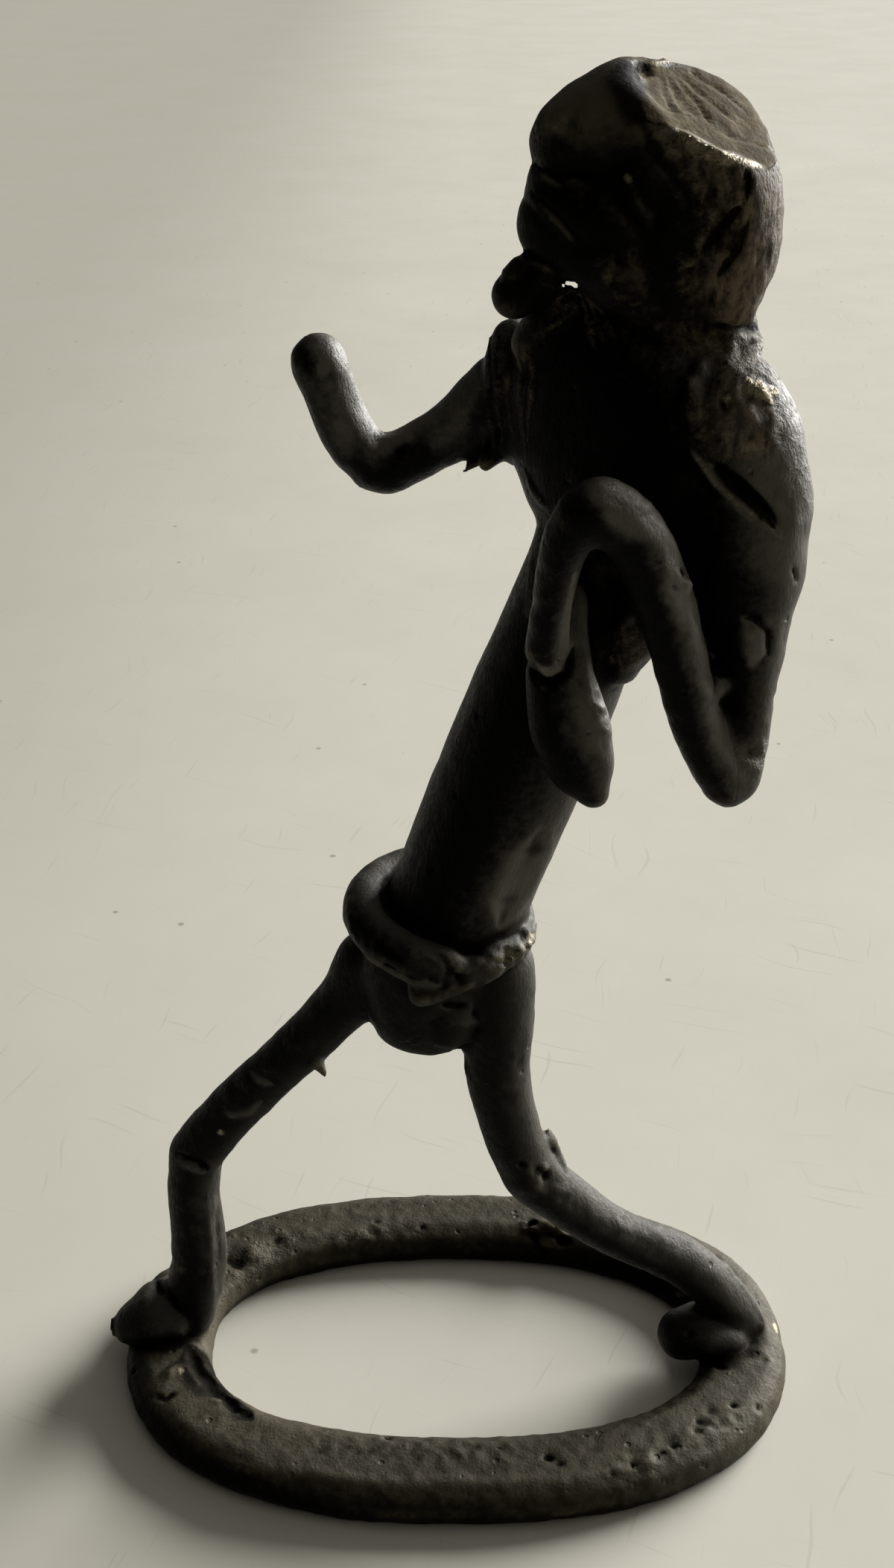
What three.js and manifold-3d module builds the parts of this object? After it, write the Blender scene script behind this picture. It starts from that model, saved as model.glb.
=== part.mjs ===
// A small walking figure of cast brass on a flat oval ring. The founder rolled and pinched the
// wax model out of separate rods, pads and slabs, and each of those pieces is one solid here.
// Millimetres, +Z up. The figure walks towards -X, and its left side faces -Y.
import * as THREE from 'three';
import { mergeVertices } from 'three/addons/utils/BufferGeometryUtils.js';
import Module from 'manifold-3d';

const wasm = await Module();
wasm.setup();

// Every piece keeps this gap to the pieces that it is seated on.
const SEAT_GAP = 0.3;

// A rounded rod end is stepped at these angles.
const DOME_ANGLES = [70, 35].map(THREE.MathUtils.degToRad);

// Base ring: one rolled rod bent to a squarish oval and pressed flat underneath.
const RING_LENGTH = 66;
const RING_WIDTH = 43.6;
const RING_ROD_WIDTH = 8.6;
const RING_HEIGHT = 4;
const RING_ROLLED_HEIGHT = 7;
const RING_NEAR_EXTRA = 0.1;
const RING_SQUARENESS = 0.86;
const RING_FLAT_DEPTH = 2;

// Legs: heights above the table, and the thickness of each rolled rod.
const FRONT_KNEE_HEIGHT = 23.9;
const REAR_KNEE_HEIGHT = 24.6;
const HIP_HEIGHT = 46.5;
const HIP_SPREAD = 10.5;
const FRONT_ANKLE_INSET = 2.6;
const REAR_ANKLE_INSET = 0.2;
const FRONT_KNEE_FORWARD = 25.1;
const REAR_KNEE_BACK = 7;
const FRONT_SHIN_THICKNESS = 5.2;
const REAR_SHIN_THICKNESS = 4.7;
const FRONT_THIGH_THICKNESS = 4.9;
const REAR_THIGH_THICKNESS = 6;
const FOOT_LENGTH = 8.4;
const FOOT_WIDTH = 6.4;
const FOOT_THICKNESS = 4.2;

// Trunk: one long rod that leans back, with a coil of wax round its foot.
const WAIST_HEIGHT = 53;
const TRUNK_LEAN = THREE.MathUtils.degToRad(18.4);
const TRUNK_LENGTH = 35;
const TRUNK_WIDTH = 12.2;
const TRUNK_DEPTH = 11.4;
const HIPS_WIDTH = 12;
const HIPS_DROP = 9.1;
const BELT_HEIGHT = 4;
const BELT_THICKNESS = 3.2;
const BELT_TILT = THREE.MathUtils.degToRad(6);
const BELT_LAP = THREE.MathUtils.degToRad(22);
const BELT_FRONT_SAG = 0.9;
const BELT_THINS_FROM = 0.6;
const BELT_THINNED = 0.4;
const BELT_FALLS_FROM = 0.82;
const BELT_FALL = 3.3;
const BELT_END_SHARE = 0.75;

// Upper body: a thick slab turned so that the far shoulder leads.
const CHEST_HEIGHT = 19;
const CHEST_THICKNESS = 12.8;
const SHOULDER_SPAN = 23;
const SHOULDER_TURN = THREE.MathUtils.degToRad(36);
const SHOULDER_DROP = 4.8;
const POUCH_LENGTH = 18;
const POUCH_WIDTH = 6.5;
const POUCH_DEPTH = 4.2;

// Arms: two rolled rods each, bent at the elbow, and one more for the left hand.
const UPPER_ARM_THICKNESS = 4.2;
const FOREARM_THICKNESS = 4.2;
const HAND_THICKNESS = 3.2;
const LEFT_UPPER_ARM_LENGTH = 21.2;
const LEFT_FOREARM_LENGTH = 26.2;
const LEFT_HAND_LENGTH = 13.2;
const RIGHT_ARM_THICKNESS = 4.7;
const RIGHT_UPPER_ARM_LENGTH = 11.6;
const RIGHT_FOREARM_LENGTH = 13;

// Head: skull, slab of hair, and lobes pressed on one above the other for the face.
const NECK_WIDTH = 11.4;
const NECK_HEIGHT = 5;
const HEAD_HEIGHT = 19;
const HEAD_LENGTH = 16;
const HEAD_WIDTH = 12.6;
const HAIR_THICKNESS = 7;
const LOBE_REACH = 3.6;
const CHIN_LENGTH = 8.4;
const EAR_LENGTH = 5.2;
const SPRUE_TILT = THREE.MathUtils.degToRad(30);
const SPRUE_HEADING = THREE.MathUtils.degToRad(41.5);

const METAL = { roughness: 0.5, metalness: 0.9 };
const PATINA = {
  ring: '#453f34',
  leg: '#2f2d29',
  body: '#262420',
  arm: '#2b2a27',
  head: '#3a362d',
};

const vec = (x, y, z) => new THREE.Vector3(x, y, z);
const offset = (point, x, y, z) => point.clone().add(vec(x, y, z));
const ACROSS = vec(0, 1, 0);
const UP = vec(0, 0, 1);

/**
 * A piece of wax rolled or pressed between the fingers: oval sections set square to a smooth
 * line, with rounded ends. A station is { at, wide, deep }, both full sizes; deep is measured
 * along `across`. `blunt` is the length of a rounded end as a share of the end's half width.
 * A `level` piece has its sections flat, as a slab pressed on a board has.
 */
function rolled(stations, {
  across = ACROSS, sides = 12, rings = 3, blunt = [0.9, 0.9], level = false,
} = {}) {
  const line = new THREE.CatmullRomCurve3(stations.map((s) => s.at), false, 'centripetal');
  const last = stations.length - 1;
  const eased = (key, t) => {
    const place = t * last;
    const i = Math.min(Math.floor(place), last - 1);
    const f = place - i;
    const ease = f * f * (3 - 2 * f);
    return stations[i][key] * (1 - ease) + stations[i + 1][key] * ease;
  };
  return (grow) => {
    const sections = [];
    const section = (t, squeeze, push) => {
      const ahead = level ? UP : line.getTangent(t);
      const side = across.clone().addScaledVector(ahead, -across.dot(ahead)).normalize();
      const flat = new THREE.Vector3().crossVectors(side, ahead);
      const centre = line.getPoint(t).addScaledVector(ahead, push);
      const wide = (eased('wide', t) / 2 + grow) * squeeze;
      const deep = (eased('deep', t) / 2 + grow) * squeeze;
      sections.push({ centre, side, flat, wide, deep });
    };
    const reach = (t, share) => Math.min(eased('wide', t), eased('deep', t)) / 2 * share + grow;
    for (const angle of DOME_ANGLES) {
      section(0, Math.cos(angle), -Math.sin(angle) * reach(0, blunt[0]));
    }
    const steps = last * rings;
    for (let i = 0; i <= steps; i += 1) section(i / steps, 1, 0);
    for (const angle of [...DOME_ANGLES].reverse()) {
      section(1, Math.cos(angle), Math.sin(angle) * reach(1, blunt[1]));
    }
    const start = line.getPoint(0)
      .addScaledVector(level ? UP : line.getTangent(0), -reach(0, blunt[0]));
    const end = line.getPoint(1)
      .addScaledVector(level ? UP : line.getTangent(1), reach(1, blunt[1]));
    return solid(skin(sections, sides, [start, end]));
  };
}

/** Triangles round a row of oval sections, closed by a point at each end or joined as a loop. */
function skin(sections, sides, tips) {
  const points = [];
  const faces = [];
  for (const { centre, side, flat, wide, deep } of sections) {
    for (let k = 0; k < sides; k += 1) {
      const turn = (k / sides) * 2 * Math.PI;
      const point = centre.clone()
        .addScaledVector(flat, Math.cos(turn) * wide)
        .addScaledVector(side, Math.sin(turn) * deep);
      points.push(point);
    }
  }
  const spans = tips ? sections.length - 1 : sections.length;
  for (let i = 0; i < spans; i += 1) {
    const here = i * sides;
    const next = ((i + 1) % sections.length) * sides;
    for (let k = 0; k < sides; k += 1) {
      const l = (k + 1) % sides;
      faces.push(here + k, here + l, next + l, here + k, next + l, next + k);
    }
  }
  if (tips) {
    const first = points.push(tips[0]) - 1;
    const final = points.push(tips[1]) - 1;
    const row = (sections.length - 1) * sides;
    for (let k = 0; k < sides; k += 1) {
      const l = (k + 1) % sides;
      faces.push(first, l, k, final, row + k, row + l);
    }
  }
  const geometry = new THREE.BufferGeometry().setFromPoints(points);
  geometry.setIndex(faces);
  return geometry;
}

/** A closed geometry as a solid that can be cut. */
function solid(geometry) {
  const bare = geometry.clone();
  bare.deleteAttribute('normal');
  bare.deleteAttribute('uv');
  const merged = mergeVertices(bare, 1e-4);
  return new wasm.Manifold(new wasm.Mesh({
    numProp: 3,
    vertProperties: new Float32Array(merged.attributes.position.array),
    triVerts: new Uint32Array(merged.index.array),
  }));
}

/** Stations along the straight line from one point to another, each pushed off it by `off`. */
function along(from, to, thickness, rows) {
  return rows.map(({ t, wide = 1, deep = wide, off = [0, 0, 0] }) => ({
    at: from.clone().lerp(to, t).add(vec(...off)),
    wide: thickness * wide,
    deep: thickness * deep,
  }));
}

// The pieces in the order in which they are seated: each is cut by those before it.
const pieces = [];
function piece(name, colour, shape, trim = (body) => body) {
  pieces.push({ name, colour, shape, trim });
}

// Skeleton: the points where the rods meet, all worked out from the sizes above.
const ringEnd = (RING_LENGTH - RING_ROD_WIDTH) / 2;
const ringSide = (RING_WIDTH - RING_ROD_WIDTH) / 2;
const frontAnkle = vec(-ringEnd + FRONT_ANKLE_INSET, 0.2, RING_HEIGHT);
const rearAnkle = vec(ringEnd - REAR_ANKLE_INSET, -0.2, RING_HEIGHT);
const frontKnee = vec(-FRONT_KNEE_FORWARD, 1.8, FRONT_KNEE_HEIGHT);
const rearKnee = vec(REAR_KNEE_BACK, -1.8, REAR_KNEE_HEIGHT);
const hipCentre = vec(-2.2, -1.2, HIP_HEIGHT);
const frontHip = offset(hipCentre, -HIP_SPREAD / 2, 1.6, 0.5);
const rearHip = offset(hipCentre, HIP_SPREAD / 2 + 0.6, -1.4, 1.2);
const waist = vec(-0.4, -1.3, WAIST_HEIGHT);
const trunkLine = vec(Math.sin(TRUNK_LEAN), 0, Math.cos(TRUNK_LEAN));
const trunkTop = waist.clone().addScaledVector(trunkLine, TRUNK_LENGTH);
const shoulderLine = vec(Math.cos(SHOULDER_TURN), -Math.sin(SHOULDER_TURN), 0);
const chestFront = vec(Math.sin(SHOULDER_TURN), Math.cos(SHOULDER_TURN), 0);
const chestCentre = offset(trunkTop, 2.4, 1.9, 7.6);
const farShoulder = chestCentre.clone().addScaledVector(shoulderLine, -SHOULDER_SPAN / 2)
  .addScaledVector(UP, SHOULDER_DROP / 2);
const nearShoulder = chestCentre.clone().addScaledVector(shoulderLine, SHOULDER_SPAN / 2)
  .addScaledVector(UP, -SHOULDER_DROP / 2);
const neckBase = offset(chestCentre, 4.0, -0.7, CHEST_HEIGHT / 2 - 3.4);
const headBase = offset(neckBase, 0, 0, NECK_HEIGHT);

// Base ring: the founder's rod, a little fatter towards the left side, pressed flat underneath
// and on top.
function ringShape(grow) {
  const steps = 48;
  const sections = [];
  const place = (turn) => {
    const bend = (value) => Math.sign(value) * Math.abs(value) ** RING_SQUARENESS;
    return vec(ringEnd * bend(Math.cos(turn)), ringSide * bend(Math.sin(turn)), 0);
  };
  for (let i = 0; i < steps; i += 1) {
    const turn = ((i + 0.5) / steps) * 2 * Math.PI;
    const ahead = place(turn + 0.01).sub(place(turn - 0.01)).normalize();
    const flat = new THREE.Vector3().crossVectors(UP, ahead);
    const wide = (RING_ROD_WIDTH - RING_NEAR_EXTRA * 2 * Math.sin(turn)) / 2 + grow;
    const deep = RING_ROLLED_HEIGHT / 2 + grow;
    const centre = place(turn).setZ(RING_ROLLED_HEIGHT / 2 - RING_FLAT_DEPTH);
    sections.push({ centre, side: UP, flat, wide, deep });
  }
  const geometry = skin(sections, 12, null);
  const heights = geometry.attributes.position;
  for (let i = 0; i < heights.count; i += 1) {
    heights.setZ(i, THREE.MathUtils.clamp(heights.getZ(i), -grow, RING_HEIGHT + grow));
  }
  return solid(geometry);
}
piece('base_ring', PATINA.ring, ringShape);

// Legs: shin rods stand on the ring, the pads of the feet are pressed round their lower ends,
// and the thigh rods lean from the knees to the hips.
piece('front_shin', PATINA.leg, rolled(along(frontAnkle, frontKnee, FRONT_SHIN_THICKNESS, [
  { t: 0.03, wide: 0.66, deep: 0.7, off: [0.1, 0, 0] },
  { t: 0.22, wide: 0.94, deep: 0.85, off: [0.3, 0, 0] },
  { t: 0.52, wide: 1.04, deep: 0.9, off: [0.4, -0.3, 0] },
  { t: 0.82, wide: 0.96, deep: 0.92, off: [-0.2, -0.1, 0] },
  { t: 1, wide: 1, deep: 0.95 },
])));
piece('rear_shin', PATINA.leg, rolled(along(rearAnkle, rearKnee, REAR_SHIN_THICKNESS, [
  { t: -0.02, wide: 0.9, deep: 1, off: [0.5, 0, 0.4] },
  { t: 0.1, wide: 1, deep: 1.05, off: [0, 0, 2.4] },
  { t: 0.36, wide: 1.02, off: [0.6, 0, 2.2] },
  { t: 0.7, wide: 1, off: [0.4, 0, -0.2] },
  { t: 1, wide: 1.12 },
])));
const footRows = [
  { t: 0, wide: 0.85, deep: 0.9 },
  { t: 0.5, wide: 1, deep: 1.05, off: [0, 0, 0.4] },
  { t: 1, wide: 0.95, deep: 0.86, off: [0, 0, -0.4] },
];
function foot(heel, lift, fat) {
  const toe = offset(heel, -FOOT_LENGTH + FOOT_THICKNESS * 0.8, 0, lift);
  return rolled(footRows.map(({ t, wide, deep, off }) => ({
    at: heel.clone().lerp(toe, t).add(vec(...(off ?? [0, 0, 0]))),
    wide: FOOT_THICKNESS * wide * fat,
    deep: FOOT_WIDTH * deep,
  })), { rings: 3 });
}
piece('front_foot', PATINA.leg, foot(offset(frontAnkle, -1.4, 0, 1.5), -1.1, 1));
piece('rear_foot', PATINA.leg, foot(offset(rearAnkle, -1.2, -1.4, 0.5), 0.2, 1.22));
piece('front_thigh', PATINA.leg, rolled(along(frontKnee, frontHip, FRONT_THIGH_THICKNESS, [
  { t: 0, wide: 1.1, deep: 1, off: [-0.1, 0, 0.3] },
  { t: 0.25, wide: 1.02, deep: 0.98, off: [-0.4, 0, 0.2] },
  { t: 0.55, wide: 0.98, deep: 0.96, off: [-0.2, 0, -0.5] },
  { t: 0.82, wide: 1.1, deep: 1.04, off: [0.3, 0, -0.3] },
  { t: 1, wide: 1.45, deep: 1.25 },
])));
piece('rear_thigh', PATINA.leg, rolled(along(rearKnee, rearHip, REAR_THIGH_THICKNESS, [
  { t: 0, wide: 0.9, off: [0, 0, 0] },
  { t: 0.25, wide: 0.94, deep: 0.92, off: [-1.2, 0, 0] },
  { t: 0.55, wide: 0.98, deep: 0.94, off: [-1.4, 0, 0] },
  { t: 0.8, wide: 1.08, deep: 1, off: [-0.6, 0, 0] },
  { t: 1.05, wide: 1.12, deep: 1 },
])));

// Trunk: the rod that carries everything above; the hips are a pad pressed over its foot, and
// the belt is a coil whose blunt end laps in front over its own thin end.
const trunkRows = [
  { t: -0.06, wide: 0.97 },
  { t: 0.08, wide: 1 },
  { t: 0.5, wide: 1 },
  { t: 1, wide: 0.88 },
];
piece('trunk', PATINA.body, rolled(trunkRows.map(({ t, wide }) => ({
  at: waist.clone().lerp(trunkTop, t).add(vec(0.6 * t, 0, 0)),
  wide: TRUNK_WIDTH * wide,
  deep: TRUNK_DEPTH * wide,
})), { sides: 16, rings: 3, blunt: [0.5, 0.6] }));
piece('hips', PATINA.leg, rolled([
  { at: offset(waist, -1.0, 0, -1.5), wide: HIPS_WIDTH * 0.94, deep: HIPS_WIDTH * 0.9 },
  { at: offset(waist, -2.1, -0.2, -1.5 - HIPS_DROP * 0.45), wide: HIPS_WIDTH, deep: HIPS_WIDTH * 0.86 },
  { at: offset(waist, -2.7, -0.4, -1.5 - HIPS_DROP), wide: HIPS_WIDTH * 0.8, deep: HIPS_WIDTH * 0.7 },
], { sides: 16, rings: 3, blunt: [0.4, 0.75] }));

const beltAxis = vec(Math.sin(BELT_TILT), 0, Math.cos(BELT_TILT));
const beltRight = vec(Math.cos(BELT_TILT), 0, -Math.sin(BELT_TILT));
/** Stations round the waist, from the blunt front end backwards to the thin end under it. */
function beltStations() {
  const stations = [];
  const count = 14;
  const startTurn = THREE.MathUtils.degToRad(4);
  for (let i = 0; i <= count; i += 1) {
    const share = i / count;
    const turn = startTurn - share * (2 * Math.PI + BELT_LAP);
    const leftness = (1 - Math.sin(turn)) / 2;
    const thick = BELT_THICKNESS * (0.55 + 0.6 * leftness);
    const thinning = Math.max(0, share - BELT_THINS_FROM) / (1 - BELT_THINS_FROM);
    const falling = Math.max(0, share - BELT_FALLS_FROM) / (1 - BELT_FALLS_FROM);
    const tall = BELT_HEIGHT * (1 - BELT_THINNED * thinning);
    const ends = i === 0 ? BELT_END_SHARE : 1;
    const bite = thick * 0.42;
    const at = waist.clone()
      .addScaledVector(beltRight, Math.sin(turn) * (TRUNK_WIDTH / 2 + bite) - 0.2)
      .addScaledVector(ACROSS, -Math.cos(turn) * (TRUNK_DEPTH / 2 + bite))
      .addScaledVector(beltAxis, -BELT_FRONT_SAG * Math.cos(turn) - BELT_FALL * falling * falling);
    stations.push({ at, wide: thick * ends, deep: tall * ends });
  }
  return stations;
}
piece('waist_belt', PATINA.leg, rolled(beltStations(), { across: beltAxis, sides: 10, rings: 2 }));

// Upper body: a slab lofted from the trunk's top to the neck.
const chestRows = [
  { t: -0.44, x: -0.9, y: -1.6, wide: 0.44, deep: 0.8 },
  { t: -0.24, x: -0.6, y: -0.9, wide: 0.62, deep: 0.92 },
  { t: 0, x: 0, y: 0, wide: 0.92, deep: 1 },
  { t: 0.22, x: 0.2, y: 0.3, wide: 0.98, deep: 0.98 },
  { t: 0.42, x: -0.2, y: 0.5, wide: 0.82, deep: 0.86 },
  { t: 0.56, x: -0.5, y: 0.4, wide: 0.56, deep: 0.68 },
];
piece('chest', PATINA.body, rolled(chestRows.map(({ t, x, y, wide, deep }) => ({
  at: offset(chestCentre, x, y, t * CHEST_HEIGHT),
  wide: SHOULDER_SPAN * wide,
  deep: CHEST_THICKNESS * deep,
})), { across: chestFront, sides: 16, rings: 2, blunt: [0.3, 0.5], level: true }));
piece('back_lobe', PATINA.body, rolled([
  { at: offset(trunkTop, 3.6, -3, -1.4), wide: 6, deep: 7 },
  { at: offset(trunkTop, 2.9, -3, -5), wide: 5.4, deep: 6.6 },
  { at: offset(trunkTop, 2.3, -2.8, -8), wide: 4, deep: 5 },
], { sides: 10, rings: 3 }));
piece('neck', PATINA.head, rolled([
  { at: offset(neckBase, -0.4, 0, 0), wide: NECK_WIDTH * 1.1, deep: NECK_WIDTH * 0.9 },
  { at: offset(neckBase, 0.1, 0, NECK_HEIGHT * 0.55), wide: NECK_WIDTH, deep: NECK_WIDTH * 0.84 },
  { at: offset(headBase, 0, 0, -0.4), wide: NECK_WIDTH * 0.98, deep: NECK_WIDTH * 0.84 },
], { sides: 14, rings: 2, blunt: [0.2, 0.15] }));

// Shoulders: a cap over the near end of the slab, and a strip pressed on its far end.
piece('left_shoulder', PATINA.body, rolled([
  { at: offset(nearShoulder, -2.6, 3.4, 8.8), wide: 8.6, deep: 8.2 },
  { at: offset(nearShoulder, -1, 1.4, 4.8), wide: 9.8, deep: 8.8 },
  { at: offset(nearShoulder, 1, 0.6, 0.8), wide: 7.8, deep: 7.6 },
], { sides: 12, rings: 3 }));
piece('right_shoulder', PATINA.body, rolled([
  { at: offset(farShoulder, 0.9, -1.2, 5.2), wide: 4.2, deep: 5 },
  { at: offset(farShoulder, 0.4, -1.5, 0.8), wide: 4.8, deep: 5.6 },
  { at: offset(farShoulder, 0.9, -1.9, -3.2), wide: 3.4, deep: 4.4 },
], { sides: 10, rings: 3 }));

// Left arm: down from the shoulder, back up to the hooked wrist, and the hand hangs down.
const leftElbow = nearShoulder.clone()
  .addScaledVector(vec(-0.02, -0.2, -1).normalize(), LEFT_UPPER_ARM_LENGTH);
const leftWrist = leftElbow.clone()
  .addScaledVector(vec(-11.4, -1.9, 21.8).normalize(), LEFT_FOREARM_LENGTH);
piece('left_upper_arm', PATINA.arm, rolled(along(nearShoulder, leftElbow, UPPER_ARM_THICKNESS, [
  { t: -0.02, wide: 2.4, deep: 1.9, off: [-0.2, 0, 0] },
  { t: 0.22, wide: 2.4, deep: 1.8, off: [-0.6, 0.3, 0] },
  { t: 0.46, wide: 1.65, deep: 1.4, off: [-0.1, 0.3, 0] },
  { t: 0.68, wide: 1.1, deep: 1.05, off: [0.4, 0, 0] },
  { t: 1, wide: 0.98 },
])));
piece('left_forearm', PATINA.arm, rolled(along(leftElbow, leftWrist, FOREARM_THICKNESS, [
  { t: 0, wide: 0.98, off: [-0.6, -0.3, 0] },
  { t: 0.2, wide: 0.94, off: [-0.7, -0.3, -0.4] },
  { t: 0.45, wide: 0.98, off: [0.4, -0.3, -0.2] },
  { t: 0.72, wide: 1.06, off: [1.7, -0.1, 0.2] },
  { t: 0.92, wide: 1.12, off: [1.8, 0, 0.2] },
  { t: 1, wide: 1.14, off: [0.2, 0, 0.2] },
])));
const handTip = offset(leftWrist, -3.5, 2.7, -LEFT_HAND_LENGTH + 0.6);
piece('left_hand', PATINA.arm, rolled(along(leftWrist, handTip, HAND_THICKNESS, [
  { t: 0.03, wide: 1.3, off: [-0.7, 0, 0] },
  { t: 0.2, wide: 1.2, off: [-1.3, 0, 0] },
  { t: 0.5, wide: 1.02, deep: 1, off: [-0.9, 0, 0] },
  { t: 1, wide: 0.9, off: [0, 0, 0] },
]), { sides: 10 }));

// Right arm: forward from the far shoulder, and the forearm turns up to a blunt hand.
const rightElbow = farShoulder.clone()
  .addScaledVector(vec(-9.4, 1.2, -5.8).normalize(), RIGHT_UPPER_ARM_LENGTH);
const rightHand = rightElbow.clone()
  .addScaledVector(vec(-5.5, -0.5, 9.7).normalize(), RIGHT_FOREARM_LENGTH - RIGHT_ARM_THICKNESS / 2);
piece('right_upper_arm', PATINA.arm, rolled(along(farShoulder, rightElbow, RIGHT_ARM_THICKNESS, [
  { t: 0, wide: 1.4, deep: 1.25, off: [0, 0, 0.8] },
  { t: 0.5, wide: 1.02, off: [0, 0.2, 0] },
  { t: 1, wide: 1, off: [0, 0, 0] },
])));
piece('right_forearm', PATINA.arm, rolled(along(rightElbow, rightHand, RIGHT_ARM_THICKNESS, [
  { t: 0, wide: 1, off: [-0.3, 0, 0.1] },
  { t: 0.3, wide: 0.98, off: [-1.1, 0, -0.2] },
  { t: 0.7, wide: 0.94, off: [-0.6, 0, 0] },
  { t: 1, wide: 1.02 },
])));

// Pouch: a long drop of wax hung from the chest against the trunk's left side.
const pouchTop = offset(trunkTop, -2.4, -6.9, -0.8);
const pouchRow = (x, y, down, wide, deep) => ({
  at: offset(pouchTop, x, y, -POUCH_LENGTH * down),
  wide: POUCH_WIDTH * wide,
  deep: POUCH_DEPTH * deep,
});
piece('pouch', PATINA.body, rolled([
  pouchRow(0, 0, 0, 0.55, 0.7),
  pouchRow(-0.5, -0.5, 0.3, 0.8, 0.9),
  pouchRow(0.5, -0.9, 0.58, 1, 1),
  pouchRow(1.6, -1.1, 0.79, 0.84, 0.92),
  pouchRow(2.7, -1.2, 0.93, 0.4, 0.5),
]));

// Head: the sprue was cut off across the crown, which left a flat sloping face.
const crown = offset(headBase, 0.7, -1.1, HEAD_HEIGHT - 4.3);
const sprueNormal = vec(
  Math.sin(SPRUE_TILT) * Math.cos(SPRUE_HEADING),
  -Math.sin(SPRUE_TILT) * Math.sin(SPRUE_HEADING),
  Math.cos(SPRUE_TILT),
);
function cutSprue(body) {
  const block = new THREE.BoxGeometry(60, 60, 30);
  block.translate(0, 0, 15);
  block.applyQuaternion(new THREE.Quaternion().setFromUnitVectors(UP, sprueNormal));
  block.translate(crown.x, crown.y, crown.z);
  return body.subtract(solid(block));
}
const headRow = (x, up, wide, deep) => ({
  at: offset(headBase, x, 0, up * HEAD_HEIGHT),
  wide,
  deep: HEAD_WIDTH * deep,
});
piece('hair', PATINA.head, rolled([
  headRow(2.4, 0.02, HAIR_THICKNESS * 1.04, 0.86),
  headRow(2.5, 0.25, HAIR_THICKNESS * 1.16, 1.02),
  headRow(2.8, 0.43, HAIR_THICKNESS * 1.04, 1.12),
  headRow(2.3, 0.57, HAIR_THICKNESS * 1.06, 1.14),
  headRow(0.6, 0.71, HAIR_THICKNESS * 1.4, 1.08),
  headRow(-0.6, 0.86, HAIR_THICKNESS * 1.4, 0.86),
], { sides: 14, rings: 2, blunt: [0.2, 0.5] }), cutSprue);
piece('skull', PATINA.head, rolled([
  headRow(-0.4, 0.03, HEAD_LENGTH * 0.62, 0.8),
  headRow(-0.8, 0.22, HEAD_LENGTH * 0.86, 0.92),
  headRow(-0.9, 0.45, HEAD_LENGTH, 0.96),
  headRow(-1, 0.68, HEAD_LENGTH * 0.96, 0.94),
  headRow(0.1, 0.84, HEAD_LENGTH * 0.66, 0.84),
], { sides: 16, rings: 2, blunt: [0.2, 0.9] }), cutSprue);

// Face: four lobes, one under the other, that stand out of the skull's front.
const faceFront = offset(headBase, -HEAD_LENGTH / 2 - 0.6, 0, HEAD_HEIGHT * 0.45);
const brow = [
  { at: offset(faceFront, -LOBE_REACH + 2.4, -0.1, 4.4), wide: 4.6, deep: 6.4 },
  { at: offset(faceFront, 2.2, -0.1, 5.3), wide: 7, deep: 9.6 },
  { at: offset(faceFront, 5.6, 0, 5.6), wide: 9, deep: 11.6 },
];
const eyeFold = [
  { at: offset(faceFront, -LOBE_REACH + 1.4, -0.1, 0.9), wide: 2.6, deep: 6 },
  { at: offset(faceFront, 0.8, -0.1, -0.4), wide: 4.4, deep: 8.8 },
  { at: offset(faceFront, 3.4, 0, -1.9), wide: 5.4, deep: 10.6 },
];
const nose = [
  { at: offset(faceFront, -LOBE_REACH + 0.9, -0.1, -1.9), wide: 3.7, deep: 5.2 },
  { at: offset(faceFront, 0.6, -0.1, -3.3), wide: 4.4, deep: 7.8 },
  { at: offset(faceFront, 3, 0, -4.6), wide: 4.6, deep: 9.2 },
];
const chinLine = vec(-0.79, 0, -0.61);
const chinRoot = offset(faceFront, 0.8, -0.1, -3.1);
const chin = [
  { at: chinRoot, wide: 4.4, deep: 6 },
  { at: chinRoot.clone().addScaledVector(chinLine, CHIN_LENGTH * 0.42), wide: 3.9, deep: 5 },
  { at: chinRoot.clone().addScaledVector(chinLine, CHIN_LENGTH - 1.8), wide: 3.7, deep: 4.2 },
];
const jaw = [
  { at: offset(faceFront, 2.2, -3, -4.2), wide: 3.4, deep: 3.8 },
  { at: offset(faceFront, 3.8, -3.8, -5.2), wide: 3.8, deep: 4 },
];
const lobes = { brow, eye_fold: eyeFold, nose, chin, jaw };
for (const [name, stations] of Object.entries(lobes)) {
  const trim = name === 'brow' ? cutSprue : undefined;
  piece(name, PATINA.head, rolled(stations, { sides: 12, rings: 2 }), trim);
}

// Ears: a ridge pressed on each side of the skull.
for (const [name, side] of [['left_ear', -1], ['right_ear', 1]]) {
  const y = side * HEAD_WIDTH / 2;
  piece(name, PATINA.head, rolled([
    { at: offset(faceFront, 3.6, y * 0.9, 2.6), wide: 1.4, deep: 1.6 },
    { at: offset(faceFront, 4.3, y * 0.95, 2.6 - EAR_LENGTH * 0.45), wide: 1.8, deep: 2 },
    { at: offset(faceFront, 5.4, y * 0.97, 2.6 - EAR_LENGTH * 0.9), wide: 1.3, deep: 1.6 },
  ], { sides: 8, rings: 2 }));
}

// Throat: a thick leaf of wax pressed on the chest's upper edge, under the chin.
piece('throat', PATINA.body, rolled([
  { at: offset(faceFront, -2.8, 2.4, -11.3), wide: 3.4, deep: 4.4 },
  { at: offset(faceFront, -1.2, 1.6, -9.3), wide: 4, deep: 5.2 },
  { at: offset(faceFront, 0.6, 0.6, -7.9), wide: 2.6, deep: 4 },
], { sides: 10 }));

/** The largest closed body of a cut piece; crumbs left by the cut are dropped. */
function largest(body) {
  return body.decompose().reduce((best, part) => (part.volume() > best.volume() ? part : best));
}

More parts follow.
